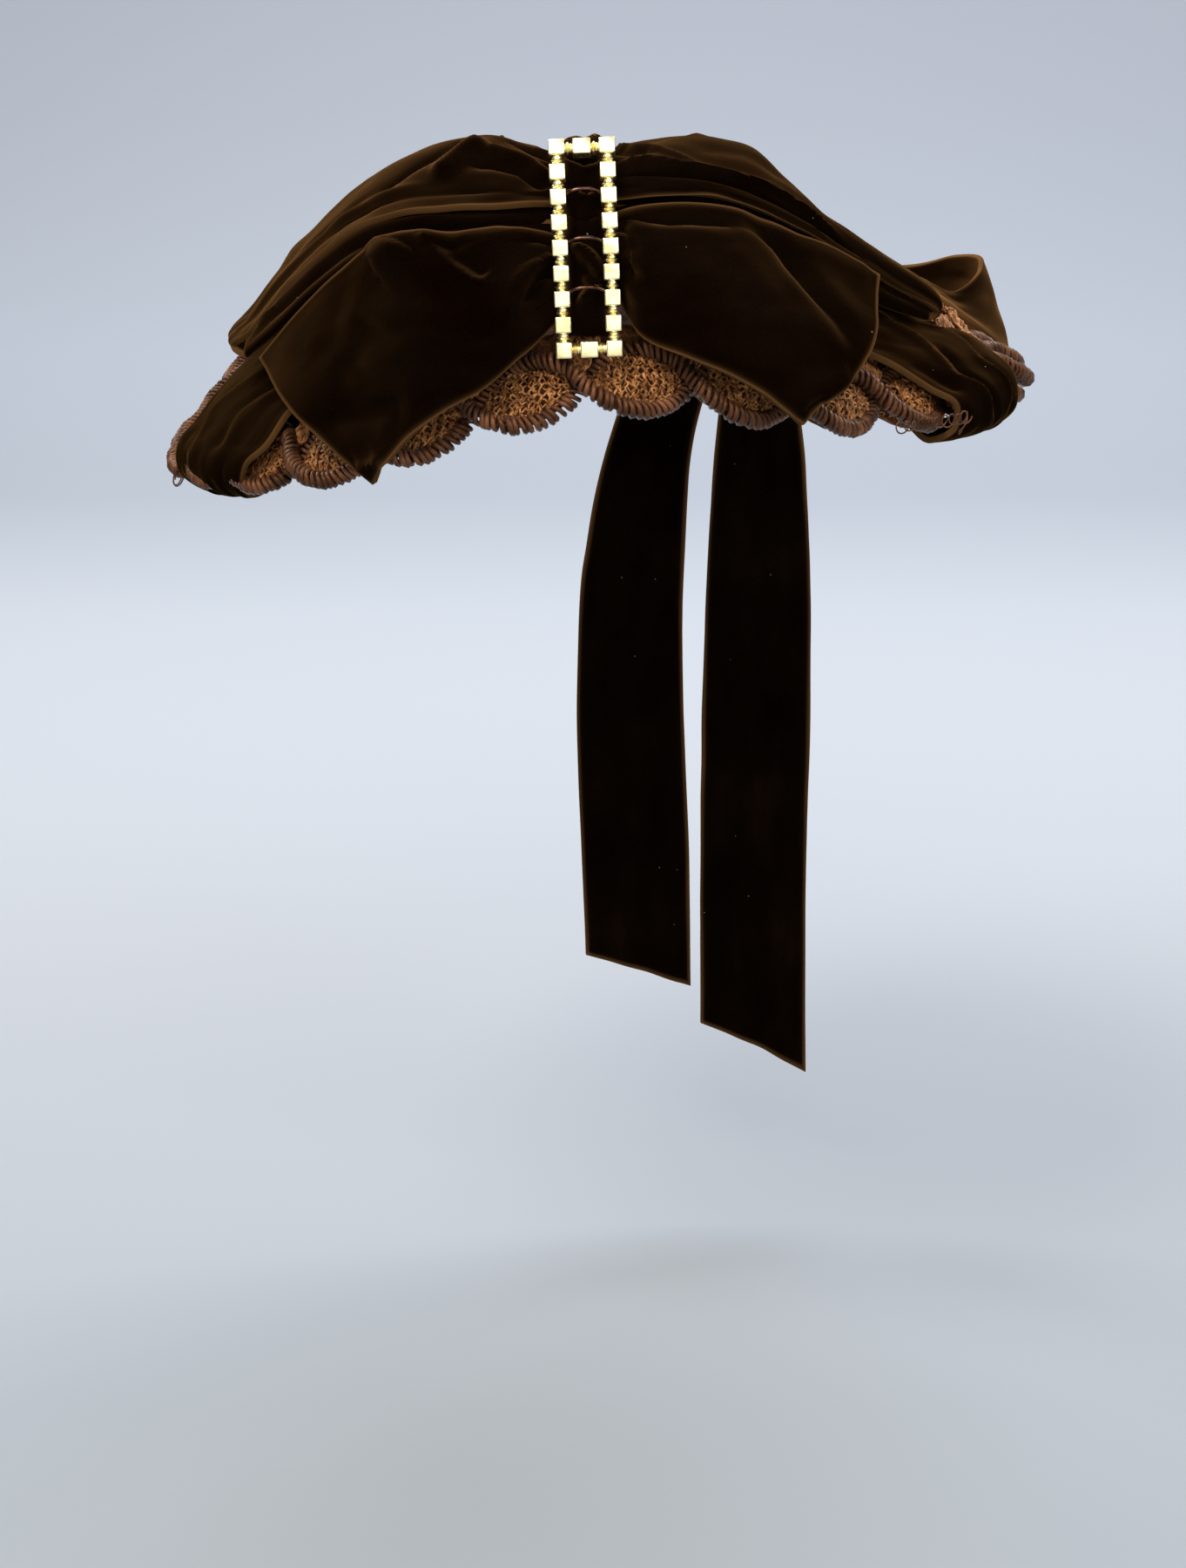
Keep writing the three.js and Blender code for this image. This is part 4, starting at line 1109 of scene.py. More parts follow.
def velvet_ribbons() -> list[Ribbon]:
    """The fourteen velvet pieces, each with what is pressed into it.

    Returns:
        The ribbons, from the front of the hat to its back.
    """
    return [
        Ribbon(
            "left_inner_fold",
            LEFT_INNER_FOLD,
            "gathered",
            step=0.9,
            wall=1.0,
            nodes=(),
            ripple=0.12,
            folds=(
                fold(1.0, 0.9, (0.0, 0.46), (0.4, 0.44), (0.8, 0.44), (0.96, 0.5)),
                fold(-0.8, 0.8, (0.0, 0.6), (0.4, 0.57), (0.96, 0.6)),
            ),
        ),
        Ribbon(
            "right_inner_fold",
            RIGHT_INNER_FOLD,
            "gathered",
            step=0.9,
            wall=1.0,
            nodes=(),
            ripple=0.12,
            folds=(fold(0.9, 0.8, (0.0, 0.45), (0.5, 0.4), (0.96, 0.5)),),
        ),
        Ribbon(
            "left_top_loop",
            LEFT_TOP_LOOP,
            "gathered",
            folds=(
                crease(1.2, 1.3, (0.102, 0.5), (0.112, 0.44), (0.135, 0.36), (0.175, 0.27), (0.23, 0.2)),
                fold(-2.2, 2.3, (0.08, 0.44), (0.095, 0.36), (0.115, 0.27), (0.13, 0.2)),
                crease(1.2, 1.3, (0.095, 0.25), (0.072, 0.25), (0.04, 0.21), (0.012, 0.1)),
                fold(-1.7, 1.9, (0.08, 0.37), (0.055, 0.33), (0.03, 0.3), (0.01, 0.22)),
                crease(0.7, 1.1, (0.055, 0.5), (0.045, 0.46), (0.03, 0.41), (0.01, 0.38)),
                crease(0.6, 0.8, (0.02, 0.08), (0.17, 0.1), (0.3, 0.11), (0.48, 0.12)),
                fold(-1.0, 1.5, (0.15, 0.17), (0.3, 0.18), (0.49, 0.2)),
                fold(0.6, 1.4, (0.2, 0.26), (0.34, 0.27), (0.49, 0.3)),
                fold(-0.8, 6.0, (0.2, 0.62), (0.4, 0.55)),
                fold(0.8, 4.0, (0.16, 0.8), (0.36, 0.74)),
            ),
            gathers=(Gathers(7.0, 1.1, 11.0, drift=0.08), Gathers(5.0, 0.9, 18.0, at_end=True)),
        ),
        Ribbon(
            "right_top_loop",
            RIGHT_TOP_LOOP,
            "gathered",
            painted_sheen_gain=0.5,
            folds=(
                crease(
                    1.4, 1.4,
                    (0.01, 0.4), (0.05, 0.36), (0.11, 0.31), (0.17, 0.3),
                    (0.24, 0.33), (0.29, 0.3), (0.34, 0.22),
                ),
                fold(-1.7, 2.1, (0.02, 0.24), (0.1, 0.19), (0.2, 0.18), (0.3, 0.15), (0.38, 0.08)),
                crease(1.2, 1.2, (0.01, 0.72), (0.03, 0.6), (0.052, 0.5), (0.09, 0.4), (0.133, 0.33)),
                fold(-1.1, 1.4, (0.01, 0.56), (0.035, 0.48), (0.07, 0.42)),
                crease(0.7, 1.0, (0.02, 0.1), (0.14, 0.08), (0.3, 0.07), (0.48, 0.06)),
                fold(-0.8, 3.0, (0.14, 0.48), (0.2, 0.52), (0.27, 0.48)),
                crease(0.7, 1.5, (0.12, 0.62), (0.17, 0.8), (0.2, 0.92)),
                fold(-0.8, 6.0, (0.16, 0.86), (0.36, 0.76)),
            ),
            gathers=(Gathers(6.0, 0.8, 11.0, drift=0.1), Gathers(5.0, 0.7, 16.0, at_end=True)),
        ),
        Ribbon(
            "left_tail",
            LEFT_TAIL,
            "gathered",
            folds=(
                fold(3.4, 5.6, (0.555, 0.07), (0.59, 0.12), (0.62, 0.13)),
                fold(-2.3, 2.6, (0.465, 0.03), (0.445, 0.12), (0.4, 0.22), (0.36, 0.3)),
                crease(
                    2.2, 1.4,
                    (0.505, 0.01), (0.5, 0.05), (0.487, 0.12),
                    (0.45, 0.21), (0.405, 0.3), (0.38, 0.36),
                ),
                crease(1.2, 1.1, (0.49, 0.06), (0.4, 0.03), (0.305, 0.015)),
                crease(1.1, 1.1, (0.475, 0.14), (0.39, 0.1), (0.307, 0.06), (0.2, 0.05)),
                crease(
                    2.3, 1.6,
                    (0.04, 0.28), (0.14, 0.28), (0.207, 0.31),
                    (0.275, 0.4), (0.31, 0.5), (0.325, 0.62),
                ),
                fold(-2.4, 3.6, (0.06, 0.42), (0.16, 0.45), (0.21, 0.56), (0.23, 0.68)),
                fold(-1.8, 3.6, (0.97, 0.58), (0.84, 0.72), (0.66, 0.87)),
                crease(2.4, 2.0, (0.865, 0.98), (0.92, 0.95), (0.98, 0.9)),
                fold(-1.3, 7.0, (0.66, 0.36), (0.8, 0.5)),
                fold(0.8, 6.0, (0.5, 0.6), (0.75, 0.2)),
            ),
            gathers=(Gathers(5.0, 0.9, 10.0, drift=0.12),),
        ),
        Ribbon(
            "right_tail",
            RIGHT_TAIL,
            "gathered",
            folds=(
                crease(1.5, 1.3, (0.04, 0.07), (0.2, 0.13), (0.345, 0.16), (0.46, 0.14), (0.56, 0.11)),
                fold(-0.9, 2.0, (0.1, 0.2), (0.3, 0.23), (0.5, 0.2)),
                fold(
                    1.5, 2.6,
                    (0.54, 0.08), (0.6, 0.06), (0.657, 0.14),
                    (0.75, 0.3), (0.865, 0.42), (0.95, 0.54),
                ),
                crease(0.9, 1.5, (0.56, 0.1), (0.657, 0.14), (0.75, 0.3), (0.84, 0.4)),
                fold(-0.9, 4.5, (0.5, 0.3), (0.66, 0.5)),
                crease(1.7, 1.2, (0.08, 0.12), (0.115, 0.16), (0.14, 0.34), (0.16, 0.5), (0.195, 0.64)),
                fold(-1.8, 2.2, (0.06, 0.26), (0.09, 0.42), (0.13, 0.6)),
                fold(-1.6, 3.6, (0.99, 0.66), (0.92, 0.8), (0.84, 0.93)),
                fold(1.4, 2.6, (0.97, 0.82), (0.94, 0.93)),
                fold(-0.8, 3.0, (0.7, 0.05), (0.86, 0.06), (0.97, 0.04)),
            ),
            gathers=(Gathers(5.0, 0.9, 9.0, drift=0.1),),
        ),
        Ribbon(
            "left_side_band",
            LEFT_SIDE_BAND,
            "draped",
            painted_sheen_gain=0.22,
            step=1.0,
            folds=(
                fold(-0.9, 5.0, (0.1, 0.2), (0.35, 0.22), (0.6, 0.3)),
                fold(0.7, 4.0, (0.1, 0.34), (0.35, 0.36), (0.6, 0.42)),
                fold(-0.7, 5.0, (0.15, 0.6), (0.4, 0.62), (0.65, 0.66)),
            ),
            gathers=(Gathers(3.0, 0.5, 14.0),),
        ),
        Ribbon(
            "right_side_band",
            RIGHT_SIDE_BAND,
            "draped",
            painted_sheen_gain=0.6,
            step=0.9,
            folds=(
                crease(
                    1.4, 1.5,
                    (0.18, 0.7), (0.24, 0.55), (0.307, 0.42), (0.4, 0.28),
                    (0.502, 0.2), (0.6, 0.28), (0.7, 0.38),
                ),
                fold(-2.0, 1.5, (0.36, 0.44), (0.5, 0.33), (0.62, 0.38), (0.74, 0.5)),
                crease(
                    1.0, 1.6,
                    (0.26, 0.84), (0.32, 0.79), (0.4, 0.64),
                    (0.482, 0.56), (0.6, 0.66), (0.7, 0.76),
                ),
                fold(-1.2, 2.2, (0.34, 0.9), (0.48, 0.74), (0.66, 0.86)),
                fold(-0.9, 2.6, (0.4, 0.1), (0.6, 0.12)),
            ),
            gathers=(Gathers(4.0, 0.6, 14.0),),
        ),
        Ribbon(
            "centre_knot",
            CENTRE_KNOT,
            "gathered",
            painted_sheen_gain=1.8,
            step=0.5,
            wall=1.6,
            ripple=0.6,
            folds=(
                fold(2.3, 0.75, (0.3, 0.05), (0.335, 0.5), (0.3, 0.95)),
                fold(-1.3, 0.9, (0.36, 0.05), (0.375, 0.5), (0.36, 0.95)),
                fold(2.3, 0.75, (0.47, 0.05), (0.5, 0.55), (0.47, 0.95)),
                fold(-1.4, 1.0, (0.53, 0.1), (0.545, 0.5), (0.53, 0.9)),
                fold(2.2, 0.75, (0.63, 0.2), (0.66, 0.6), (0.7, 0.9)),
                fold(2.0, 0.7, (0.8, 0.3), (0.74, 0.7), (0.7, 0.5)),
            ),
        ),
        Ribbon("back_knot", BACK_KNOT, "gathered", step=0.8, wall=1.7, gathers=(Gathers(4.0, 0.6, 60.0),)),
        Ribbon(
            "back_loop_right",
            BACK_LOOP_RIGHT,
            "gathered",
            painted_sheen_gain=3.5,
            step=1.0,
            folds=(fold(-0.6, 4.0, (0.1, 0.5), (0.3, 0.45)), fold(0.5, 3.0, (0.1, 0.2), (0.3, 0.25))),
            gathers=(Gathers(4.0, 1.0, 16.0),),
        ),
        Ribbon(
            "back_loop_left",
            BACK_LOOP_LEFT,
            "gathered",
            folds=(fold(0.7, 4.0, (0.2, 0.4), (0.8, 0.35)),),
            gathers=(Gathers(5.0, 1.0, 15.0),),
        ),
        Ribbon(
            "left_tie",
            LEFT_TIE,
            "hung",
            step=1.3,
            ripple=0.6,
            folds=(fold(1.4, 5.0, (0.0, 0.4), (0.4, 0.55)), fold(-1.2, 5.0, (0.1, 0.7), (0.6, 0.4))),
            gathers=(Gathers(4.0, 1.1, 26.0),),
        ),
        Ribbon(
            "right_tie",
            RIGHT_TIE,
            "hung",
            step=1.3,
            ripple=0.6,
            folds=(fold(1.4, 5.0, (0.0, 0.5), (0.4, 0.4)), fold(-1.2, 5.0, (0.2, 0.3), (0.7, 0.6))),
            gathers=(Gathers(4.0, 1.1, 26.0),),
        ),
    ]


@dataclass(frozen=True)
class Plait:
    """A flat straw plait: its width, how far its straws advance, and how high they stand."""

    width: float = 6.4
    pitch: float = 3.1
    ends: int = 3
    height: float = 0.42
    overlap: float = 0.55

    def relief(self, along: Array, across: Array) -> Array:
        """Height of the plait's surface.

        Args:
            along: distance along the plait, in millimetres.
            across: distance across the rows, in millimetres, rows counted from zero.

        Returns:
            The height at each place.
        """
        row = np.floor(across / self.width)
        share = across / self.width - row
        turn = along / self.pitch + 0.37 * row
        lean = self.ends * share
        first = np.abs(np.cos(np.pi * (turn + lean)))
        second = np.abs(np.cos(np.pi * (turn - lean)))
        over = 0.5 + 0.5 * np.sin(2 * np.pi * turn) * np.sin(2 * np.pi * lean)
        straws = first * over + second * (1 - over)
        rim = np.clip(np.minimum(share, 1.0 - share) * 9.0, 0.0, 1.0) ** 0.5
        return self.height * straws * rim + self.overlap * share


@dataclass
class Crown:
    """The oval dome, sewn from plait that winds out from its middle."""

    finish: bpy.types.Material
    rings: int = 78
    turns: int = 270
    wall: float = 1.5
    plait: Plait = Plait()

    def build(self) -> bpy.types.Object:
        """Makes the crown.

        Returns:
            The finished piece.
        """
        angle = np.linspace(0.0, 2 * np.pi, self.turns + 1)[None, :]
        radius = np.linspace(0.4, HAT.crown_radius, self.rings + 1)[:, None]
        angle, radius = np.broadcast_arrays(angle, radius)
        winding = radius + self.plait.width * angle / (2 * np.pi)
        along = angle * np.maximum(np.floor(winding / self.plait.width), 0.6) * self.plait.width
        raised = self.plait.relief(along, winding)
        seam = np.clip((HAT.crown_radius - radius) / 1.5, 0.0, 1.0)
        sunk = 1.9 * np.exp(-(((angle - 1.35) / 0.62) ** 2)) * np.clip((radius - 30.0) / 25.0, 0.0, 1.0)
        height = HAT.dome(radius) - 0.75 - 0.5 * seam - sunk * seam + (raised - 0.45) * seam
        places = HAT.point(angle, radius, height)
        places[0] = places[0].mean(axis=0)
        uv = np.stack([along, winding], axis=-1) * MM
        piece = grid_piece("straw_crown", places, uv)
        close_seams(piece)
        apply_modifier(piece, "SOLIDIFY", thickness=self.wall * MM, offset=-1.0)
        shade_smooth(piece)
        hand_in(piece, self.finish, "straw", "crown")
        return piece


@dataclass
class Brim:
    """The band of plait that turns out and down from the crown to the edge trimming."""

    finish: bpy.types.Material
    rows: int = 44
    turns: int = 420
    wall: float = 1.4
    plait: Plait = Plait()

    def profile(self, angle: Array) -> Array:
        """Radius and height of the brim's face at an angle.

        Args:
            angle: angle from the front, in radians.

        Returns:
            The three given points of the profile at each angle.
        """
        slope = HAT.slope(angle)
        inner, seam = HAT.crown_radius + 0.1, HAT.crown_top - HAT.crown_depth - 0.9
        reach = (HAT.trim_height + 0.2) * np.cos(slope) + 3.6 * np.sin(slope)
        lift = (HAT.trim_height + 0.9) * np.sin(slope) - 2.9 * np.cos(slope)
        edge = np.stack([HAT.mean_radius - reach, HAT.rim_height + lift], axis=-1)
        start = np.broadcast_to([inner, seam], edge.shape)
        shoulder = np.broadcast_to([inner + 4.2, seam - 2.6], edge.shape)
        return np.stack([start, shoulder, edge])

    def build(self) -> bpy.types.Object:
        """Makes the brim.

        Returns:
            The finished piece.
        """
        angle = np.linspace(0.0, 2 * np.pi, self.turns + 1)
        given = self.profile(angle)
        face = smooth_curve(given, self.rows)
        width = np.linalg.norm(np.diff(face, axis=0), axis=-1)
        across = np.concatenate([np.zeros((1, len(angle))), np.cumsum(width, axis=0)])
        along = np.broadcast_to(angle * 94.0, across.shape)
        wound = across * 26.0 / across[-1].mean()
        raised = self.plait.relief(along, wound + self.plait.width * angle / (2 * np.pi)) - 0.45
        ends = np.clip(np.minimum(across, across[-1:] - across) / 1.5, 0.0, 1.0)
        turned = np.broadcast_to(angle, across.shape)
        places = HAT.point(turned, face[..., 0], face[..., 1] + raised * ends)
        piece = grid_piece("straw_brim", places[::-1], np.stack([along, across], axis=-1)[::-1] * MM)
        close_seams(piece)
        apply_modifier(piece, "SOLIDIFY", thickness=self.wall * MM, offset=-1.0)
        shade_smooth(piece)
        hand_in(piece, self.finish, "straw", "brim")
        return piece


class Cord(Enum):
    """The two cords that twist into the chain of ovals."""

    A = 1
    B = -1


@dataclass
class EdgeTrim:
    """Two coiled cords twisted into a chain of ovals, with a knotted pad of lace in each."""

    cord_finish: bpy.types.Material
    lace_finish: bpy.types.Material
    ground_finish: bpy.types.Material
    ovals: int = 28
    first_crossing: float = -2.1
    swing: float = 6.5
    twist: float = 1.85
    fullness: float = 0.75
    coil_radius: float = 1.42
    straw_radius: float = 0.5
    turn_pitch: float = 1.3
    fanned: float = 0.42
    points_per_turn: int = 9
    pad_half: float = 9.6
    pad_sunk: float = 3.6
    pad_bulge: float = 4.3
    pad_gathers: float = 2.6
    upright_strands: int = 21
    level_strands: int = 9
    tufted: tuple[int, ...] = (-3, -2, -1, 0, 1, 2, 3, 5, 6, 7, 8)
    tuft: int = 19

    def turned(self, angle: Array) -> Array:
        """How far the twist has turned: one turn spans two ovals."""
        return (angle - math.radians(self.first_crossing)) * self.ovals / 2

    def openness(self, angle: Array) -> Array:
        """How far apart the cords lie, from 0 where they cross to 1."""
        return np.abs(np.sin(self.turned(angle))) ** self.fullness

    def coil_points(self, cord: Cord) -> tuple[Array, Array]:
        """The line of the straw that is wound into one cord, wider where the turns fan out.

        Args:
            cord: which of the two cords.

        Returns:
            The points of the winding and its thickness at each, in millimetres.
        """
        angle = np.linspace(0.0, 2 * np.pi, 6001)[:-1] + math.radians(self.first_crossing)
        spread = cord.value * np.sign(np.sin(self.turned(angle))) * self.openness(angle)
        out = cord.value * np.cos(self.turned(angle)) * self.twist
        middle = HAT.edge(angle, spread * self.swing, out)
        away = unit(HAT.edge(angle, 0.0, 5.0) - HAT.edge(angle, 0.0, 0.0))
        closed = np.concatenate([middle, middle[:1]])
        reach = np.concatenate([[0.0], np.cumsum(np.linalg.norm(np.diff(closed, axis=0), axis=1))])
        windings = round(reach[-1] / self.turn_pitch)
        stops = np.linspace(0.0, reach[-1], windings * self.points_per_turn + 1)[:-1]
        away = np.concatenate([away, away[:1]])
        outer = unit(HAT.edge(angle, 5.0, 0.0) - HAT.edge(angle, 0.0, 0.0))
        outer = outer * (np.sign(spread) * self.openness(angle))[:, None]
        outer = np.concatenate([outer, outer[:1]])
        line = resampled(closed, reach, stops)
        away = resampled(away, reach, stops)
        outer = resampled(outer, reach, stops)
        tangent = unit(np.roll(line, -2, axis=0) - np.roll(line, 2, axis=0))
        side = unit(np.cross(tangent, away))
        up = np.cross(side, tangent)
        draw = np.random.default_rng(SEED + cord.value)
        loose = np.repeat(draw.uniform(-1.0, 1.0, windings), self.points_per_turn)
        loose = blurred(loose, 9)
        spin = 2 * np.pi * np.arange(len(line)) / self.points_per_turn
        offset = up * np.cos(spin)[:, None] + side * np.sin(spin)[:, None]
        thickness = self.straw_radius * (1.0 + self.fanned * np.clip((offset * outer).sum(axis=1), 0.0, 1.0))
        radius = self.coil_radius * (1.0 + 0.1 * loose)
        gap = np.repeat(draw.uniform(-0.3, 0.3, windings), self.points_per_turn)
        gap = blurred(gap, 5)
        tilt = 0.34 * np.sin(spin) + 0.16 * loose + gap
        return line + offset * radius[:, None] + tangent * tilt[:, None], thickness

    def build_cord(self, cord: Cord) -> bpy.types.Object:
        """Makes one coiled cord.

        Args:
            cord: which of the two cords.

        Returns:
            The finished piece.
        """
        letter = cord.name.lower()
        points, thickness = self.coil_points(cord)
        steps = np.arange(len(points))
        uneven = 1.0 + 0.16 * np.sin(steps * 0.173) * np.sin(steps * 0.031)
        strand = Strand(points, thickness * uneven, closed=True)
        piece = strands_piece(f"coiled_cord_{letter}", [strand], 1)
        hand_in(piece, self.cord_finish, "straw_coil", f"edge_coil_{letter}")
        return piece

    def pad_point(self, oval: int, x: Array, y: Array, rise: Array) -> Array:
        """A point on the pad of one oval.

        Args:
            oval: number of the oval round the edge.
            x: distance from the pad's middle along the edge, in millimetres.
            y: distance down from its middle.
            rise: height over the pad's face.

        Returns:
            Points with a last axis of x, y and z.
        """
        middle = math.radians(self.first_crossing) + (oval + 0.5) * 2 * math.pi / self.ovals
        angle = middle + x / HAT.mean_radius
        near = np.clip(1.0 - (x / 11.4) ** 2 - (y / 9.0) ** 2, 0.0, 1.0)
        return HAT.edge(angle, y, -self.pad_sunk + self.pad_bulge * near**0.8 + rise)

    def pad_strands(self, oval: int) -> list[Strand]:
        """The knotted strands of one pad.

        Args:
            oval: number of the oval round the edge.

        Returns:
            Its strands.
        """
        draw = np.random.default_rng(SEED + 31 * oval)
        fan = draw.uniform(0.0, 1.0)
        strands = []
        for share in np.linspace(-1.0, 1.0, self.upright_strands):
            t = np.linspace(-1.0, 1.0, 21)
            gathered = share + 0.06 * math.sin(2 * math.pi * (self.pad_gathers * share + fan))
            x = gathered * self.pad_half * np.sqrt(np.clip(1.0 - (0.55 * t - 0.1) ** 2, 0.1, 1.0))
            waves = draw.uniform(4.0, 8.0)
            zigzag = 0.42 * np.sin(np.pi * (t * waves + draw.uniform(0, 2)))
            reach = 5.4 * math.sqrt(max(1.0 - 0.72 * share**2, 0.1))
            y = t * reach - 0.3 + draw.normal(0.0, 0.14, len(t))
            ridge = 0.45 * math.cos(2 * math.pi * (self.pad_gathers * share + fan)) * (1.0 - 0.3 * t)
            rise = 0.35 + ridge + 0.34 * np.sin(np.pi * (t * waves + 1.2 * share))
            rise = rise + draw.normal(0.0, 0.16, len(t))
            radius = 0.24 + 0.12 * draw.random()
            strands.append(Strand(self.pad_point(oval, x + zigzag + draw.normal(0.0, 0.1), y, rise), radius))
        for share in np.linspace(-0.86, 0.94, self.level_strands):
            t = np.linspace(-1.0, 1.0, 27)
            reach = self.pad_half * math.sqrt(max(1.0 - share**2, 0.12))
            waves = 0.6 * np.sin(np.pi * (t * 9 + draw.uniform(0, 2)))
            y = share * 5.3 + waves + 0.7 * t**2 * -np.sign(share)
            rise = 0.3 + 0.4 * np.sin(np.pi * (t * 9 + 0.5)) + draw.normal(0.0, 0.1, len(t))
            strands.append(Strand(self.pad_point(oval, t * reach, y, rise), 0.24 + 0.1 * draw.random()))
        return strands

    def tuft_strands(self, crossing: int) -> list[Strand]:
        """Strands that fan up from where the cords cross and run under the bow.

        Args:
            crossing: number of the crossing from the front.

        Returns:
            Its strands.
        """
        draw = np.random.default_rng(SEED + 977 * (crossing + 9))
        middle = math.radians(self.first_crossing) + crossing * 2 * math.pi / self.ovals
        t = np.linspace(0.0, 1.0, 17)
        strands = []
        for share in np.linspace(-1.0, 1.0, self.tuft):
            wave = 0.5 * np.sin(np.pi * (t * 7.0 + draw.uniform(0, 2)))
            x = share * (0.8 + 6.4 * t**0.8) + wave
            reach = 15.0 + draw.normal(0.0, 0.5)
            y = -2.2 - reach * t
            rise = (-2.6 if abs(crossing) < 4 else 4.0) * t**2 + draw.normal(0.0, 0.12, len(t))
            out = 0.9 + rise + 0.4 * np.sin(np.pi * (t * 7.0 + share))
            points = HAT.edge(middle + x / HAT.mean_radius, y, out)
            strands.append(Strand(points, 0.26 + 0.12 * draw.random()))
        return strands

    def build_lace(self) -> bpy.types.Object:
        """Makes the net of strands over every pad, and the strands that gather between them.

        Returns:
            The finished piece.
        """
        strands = [strand for oval in range(self.ovals) for strand in self.pad_strands(oval)]
        for crossing in self.tufted:
            strands += self.tuft_strands(crossing)
        piece = strands_piece("knotted_lace", strands, 0)
        hand_in(piece, self.lace_finish, "straw_lace")
        return piece

    def build_ground(self) -> bpy.types.Object:
        """Makes the closely netted ground behind the strands.

        Returns:
            The finished piece.
        """
        steps, rows = self.ovals * 16, 16
        angle = np.linspace(0.0, 2 * np.pi, steps + 1) + math.radians(self.first_crossing)
        open_share = self.openness(angle)
        bulge = np.abs(np.sin(self.turned(angle))) ** 3
        low = -1.0 + 6.2 * open_share
        t = np.linspace(0.0, 1.0, rows + 1)[:, None]
        front = np.exp(-((wrapped(angle) / 0.36) ** 2))
        top = -9.6 - 3.4 * front
        along = top + (low - top) * t
        face = np.sin(np.pi * np.clip((along + 6.2) / (low + 6.2), 0.0, 1.0))
        raised = 1.2 * front * np.clip((-6.0 - along) / 3.0, 0.0, 1.0)
        netting = 0.22 * np.sin(angle * 420.0) * np.sin(along * 5.0)
        out = -self.pad_sunk + 3.0 * bulge * face + raised + netting
        places = HAT.edge(np.broadcast_to(angle, along.shape), along, out)
        uv = np.stack([np.broadcast_to(angle * HAT.mean_radius, along.shape), along], axis=-1) * MM
        piece = grid_piece("lace_ground", places, uv)
        close_seams(piece)
        apply_modifier(piece, "SOLIDIFY", thickness=0.9 * MM, offset=0.0)
        shade_smooth(piece)
        hand_in(piece, self.ground_finish, "straw_lace", "edge_lace")
        return piece

    def build(self) -> None:
        """Makes the cords, the lace and its ground."""
        self.build_ground()
        self.build_lace()
        for cord in Cord:
            self.build_cord(cord)


@dataclass
class LooseTurns:
    """Turns of straw that have sprung out of the cords, and one hanging thread."""

    finish: bpy.types.Material
    thickness: float = 0.17
    lean: Place = (0.0, -0.25, 1.0)

    def looped(self, start: Array, end: Array, radius: float, turns: int) -> Strand:
        """A line that loops like handwriting from one place to another.

        Args:
            start: where it starts.
            end: where it ends.
            radius: radius of each loop.
            turns: how many loops it has.

        Returns:
            The strand.
        """
        share = np.linspace(0.0, 1.0, turns * 16 + 1)[:, None]
        turn = 2 * np.pi * turns * share
        run = unit(np.asarray(end) - start)
        swing = 1.0 + 0.16 * np.sin(turn * 0.37)
        loop = np.cos(turn) * run * swing + np.sin(turn) * np.array(self.lean) * swing
        return Strand(start + (end - start) * share + radius * loop, self.thickness)

    def build(self) -> bpy.types.Object:
        """Makes the loose turns.

        Returns:
            The finished piece.
        """
        fringe = np.array(beside(36.5, 8.2, 2.2)), np.array(beside(43.5, 8.6, 3.2))
        curls = np.array(beside(43.6, 8.8, 3.4)), np.array(beside(47.4, 9.6, 4.4))
        pendant = np.array((-92.2, -38.5, -64.2)), np.array((-92.9, -38.0, -64.8))
        crest = np.array((-19.4, -62.0, 9.7)), np.array((-17.8, -62.0, 9.6))
        knot_top = np.array((-7.0, -62.0, 9.0)), np.array((-5.8, -62.0, 8.9))
        end = np.array(beside(45.4, 12.0, 3.0))
        thread = smooth_curve(np.array([beside(46.8, 9.0, 5.6), beside(46.4, 10.8, 4.6), end]), 12)
        strands = [
            self.looped(*fringe, 1.1, 6),
            self.looped(*curls, 1.2, 4),
            self.looped(*pendant, 1.7, 2),
            self.looped(*crest, 0.9, 1),
            self.looped(*knot_top, 0.9, 1),
            self.looped(end, end + 0.5, 0.3, 2),
            Strand(thread, 0.15),
        ]
        piece = strands_piece("loose_turns", strands, 1)
        hand_in(piece, self.finish, "straw_coil")
        return piece


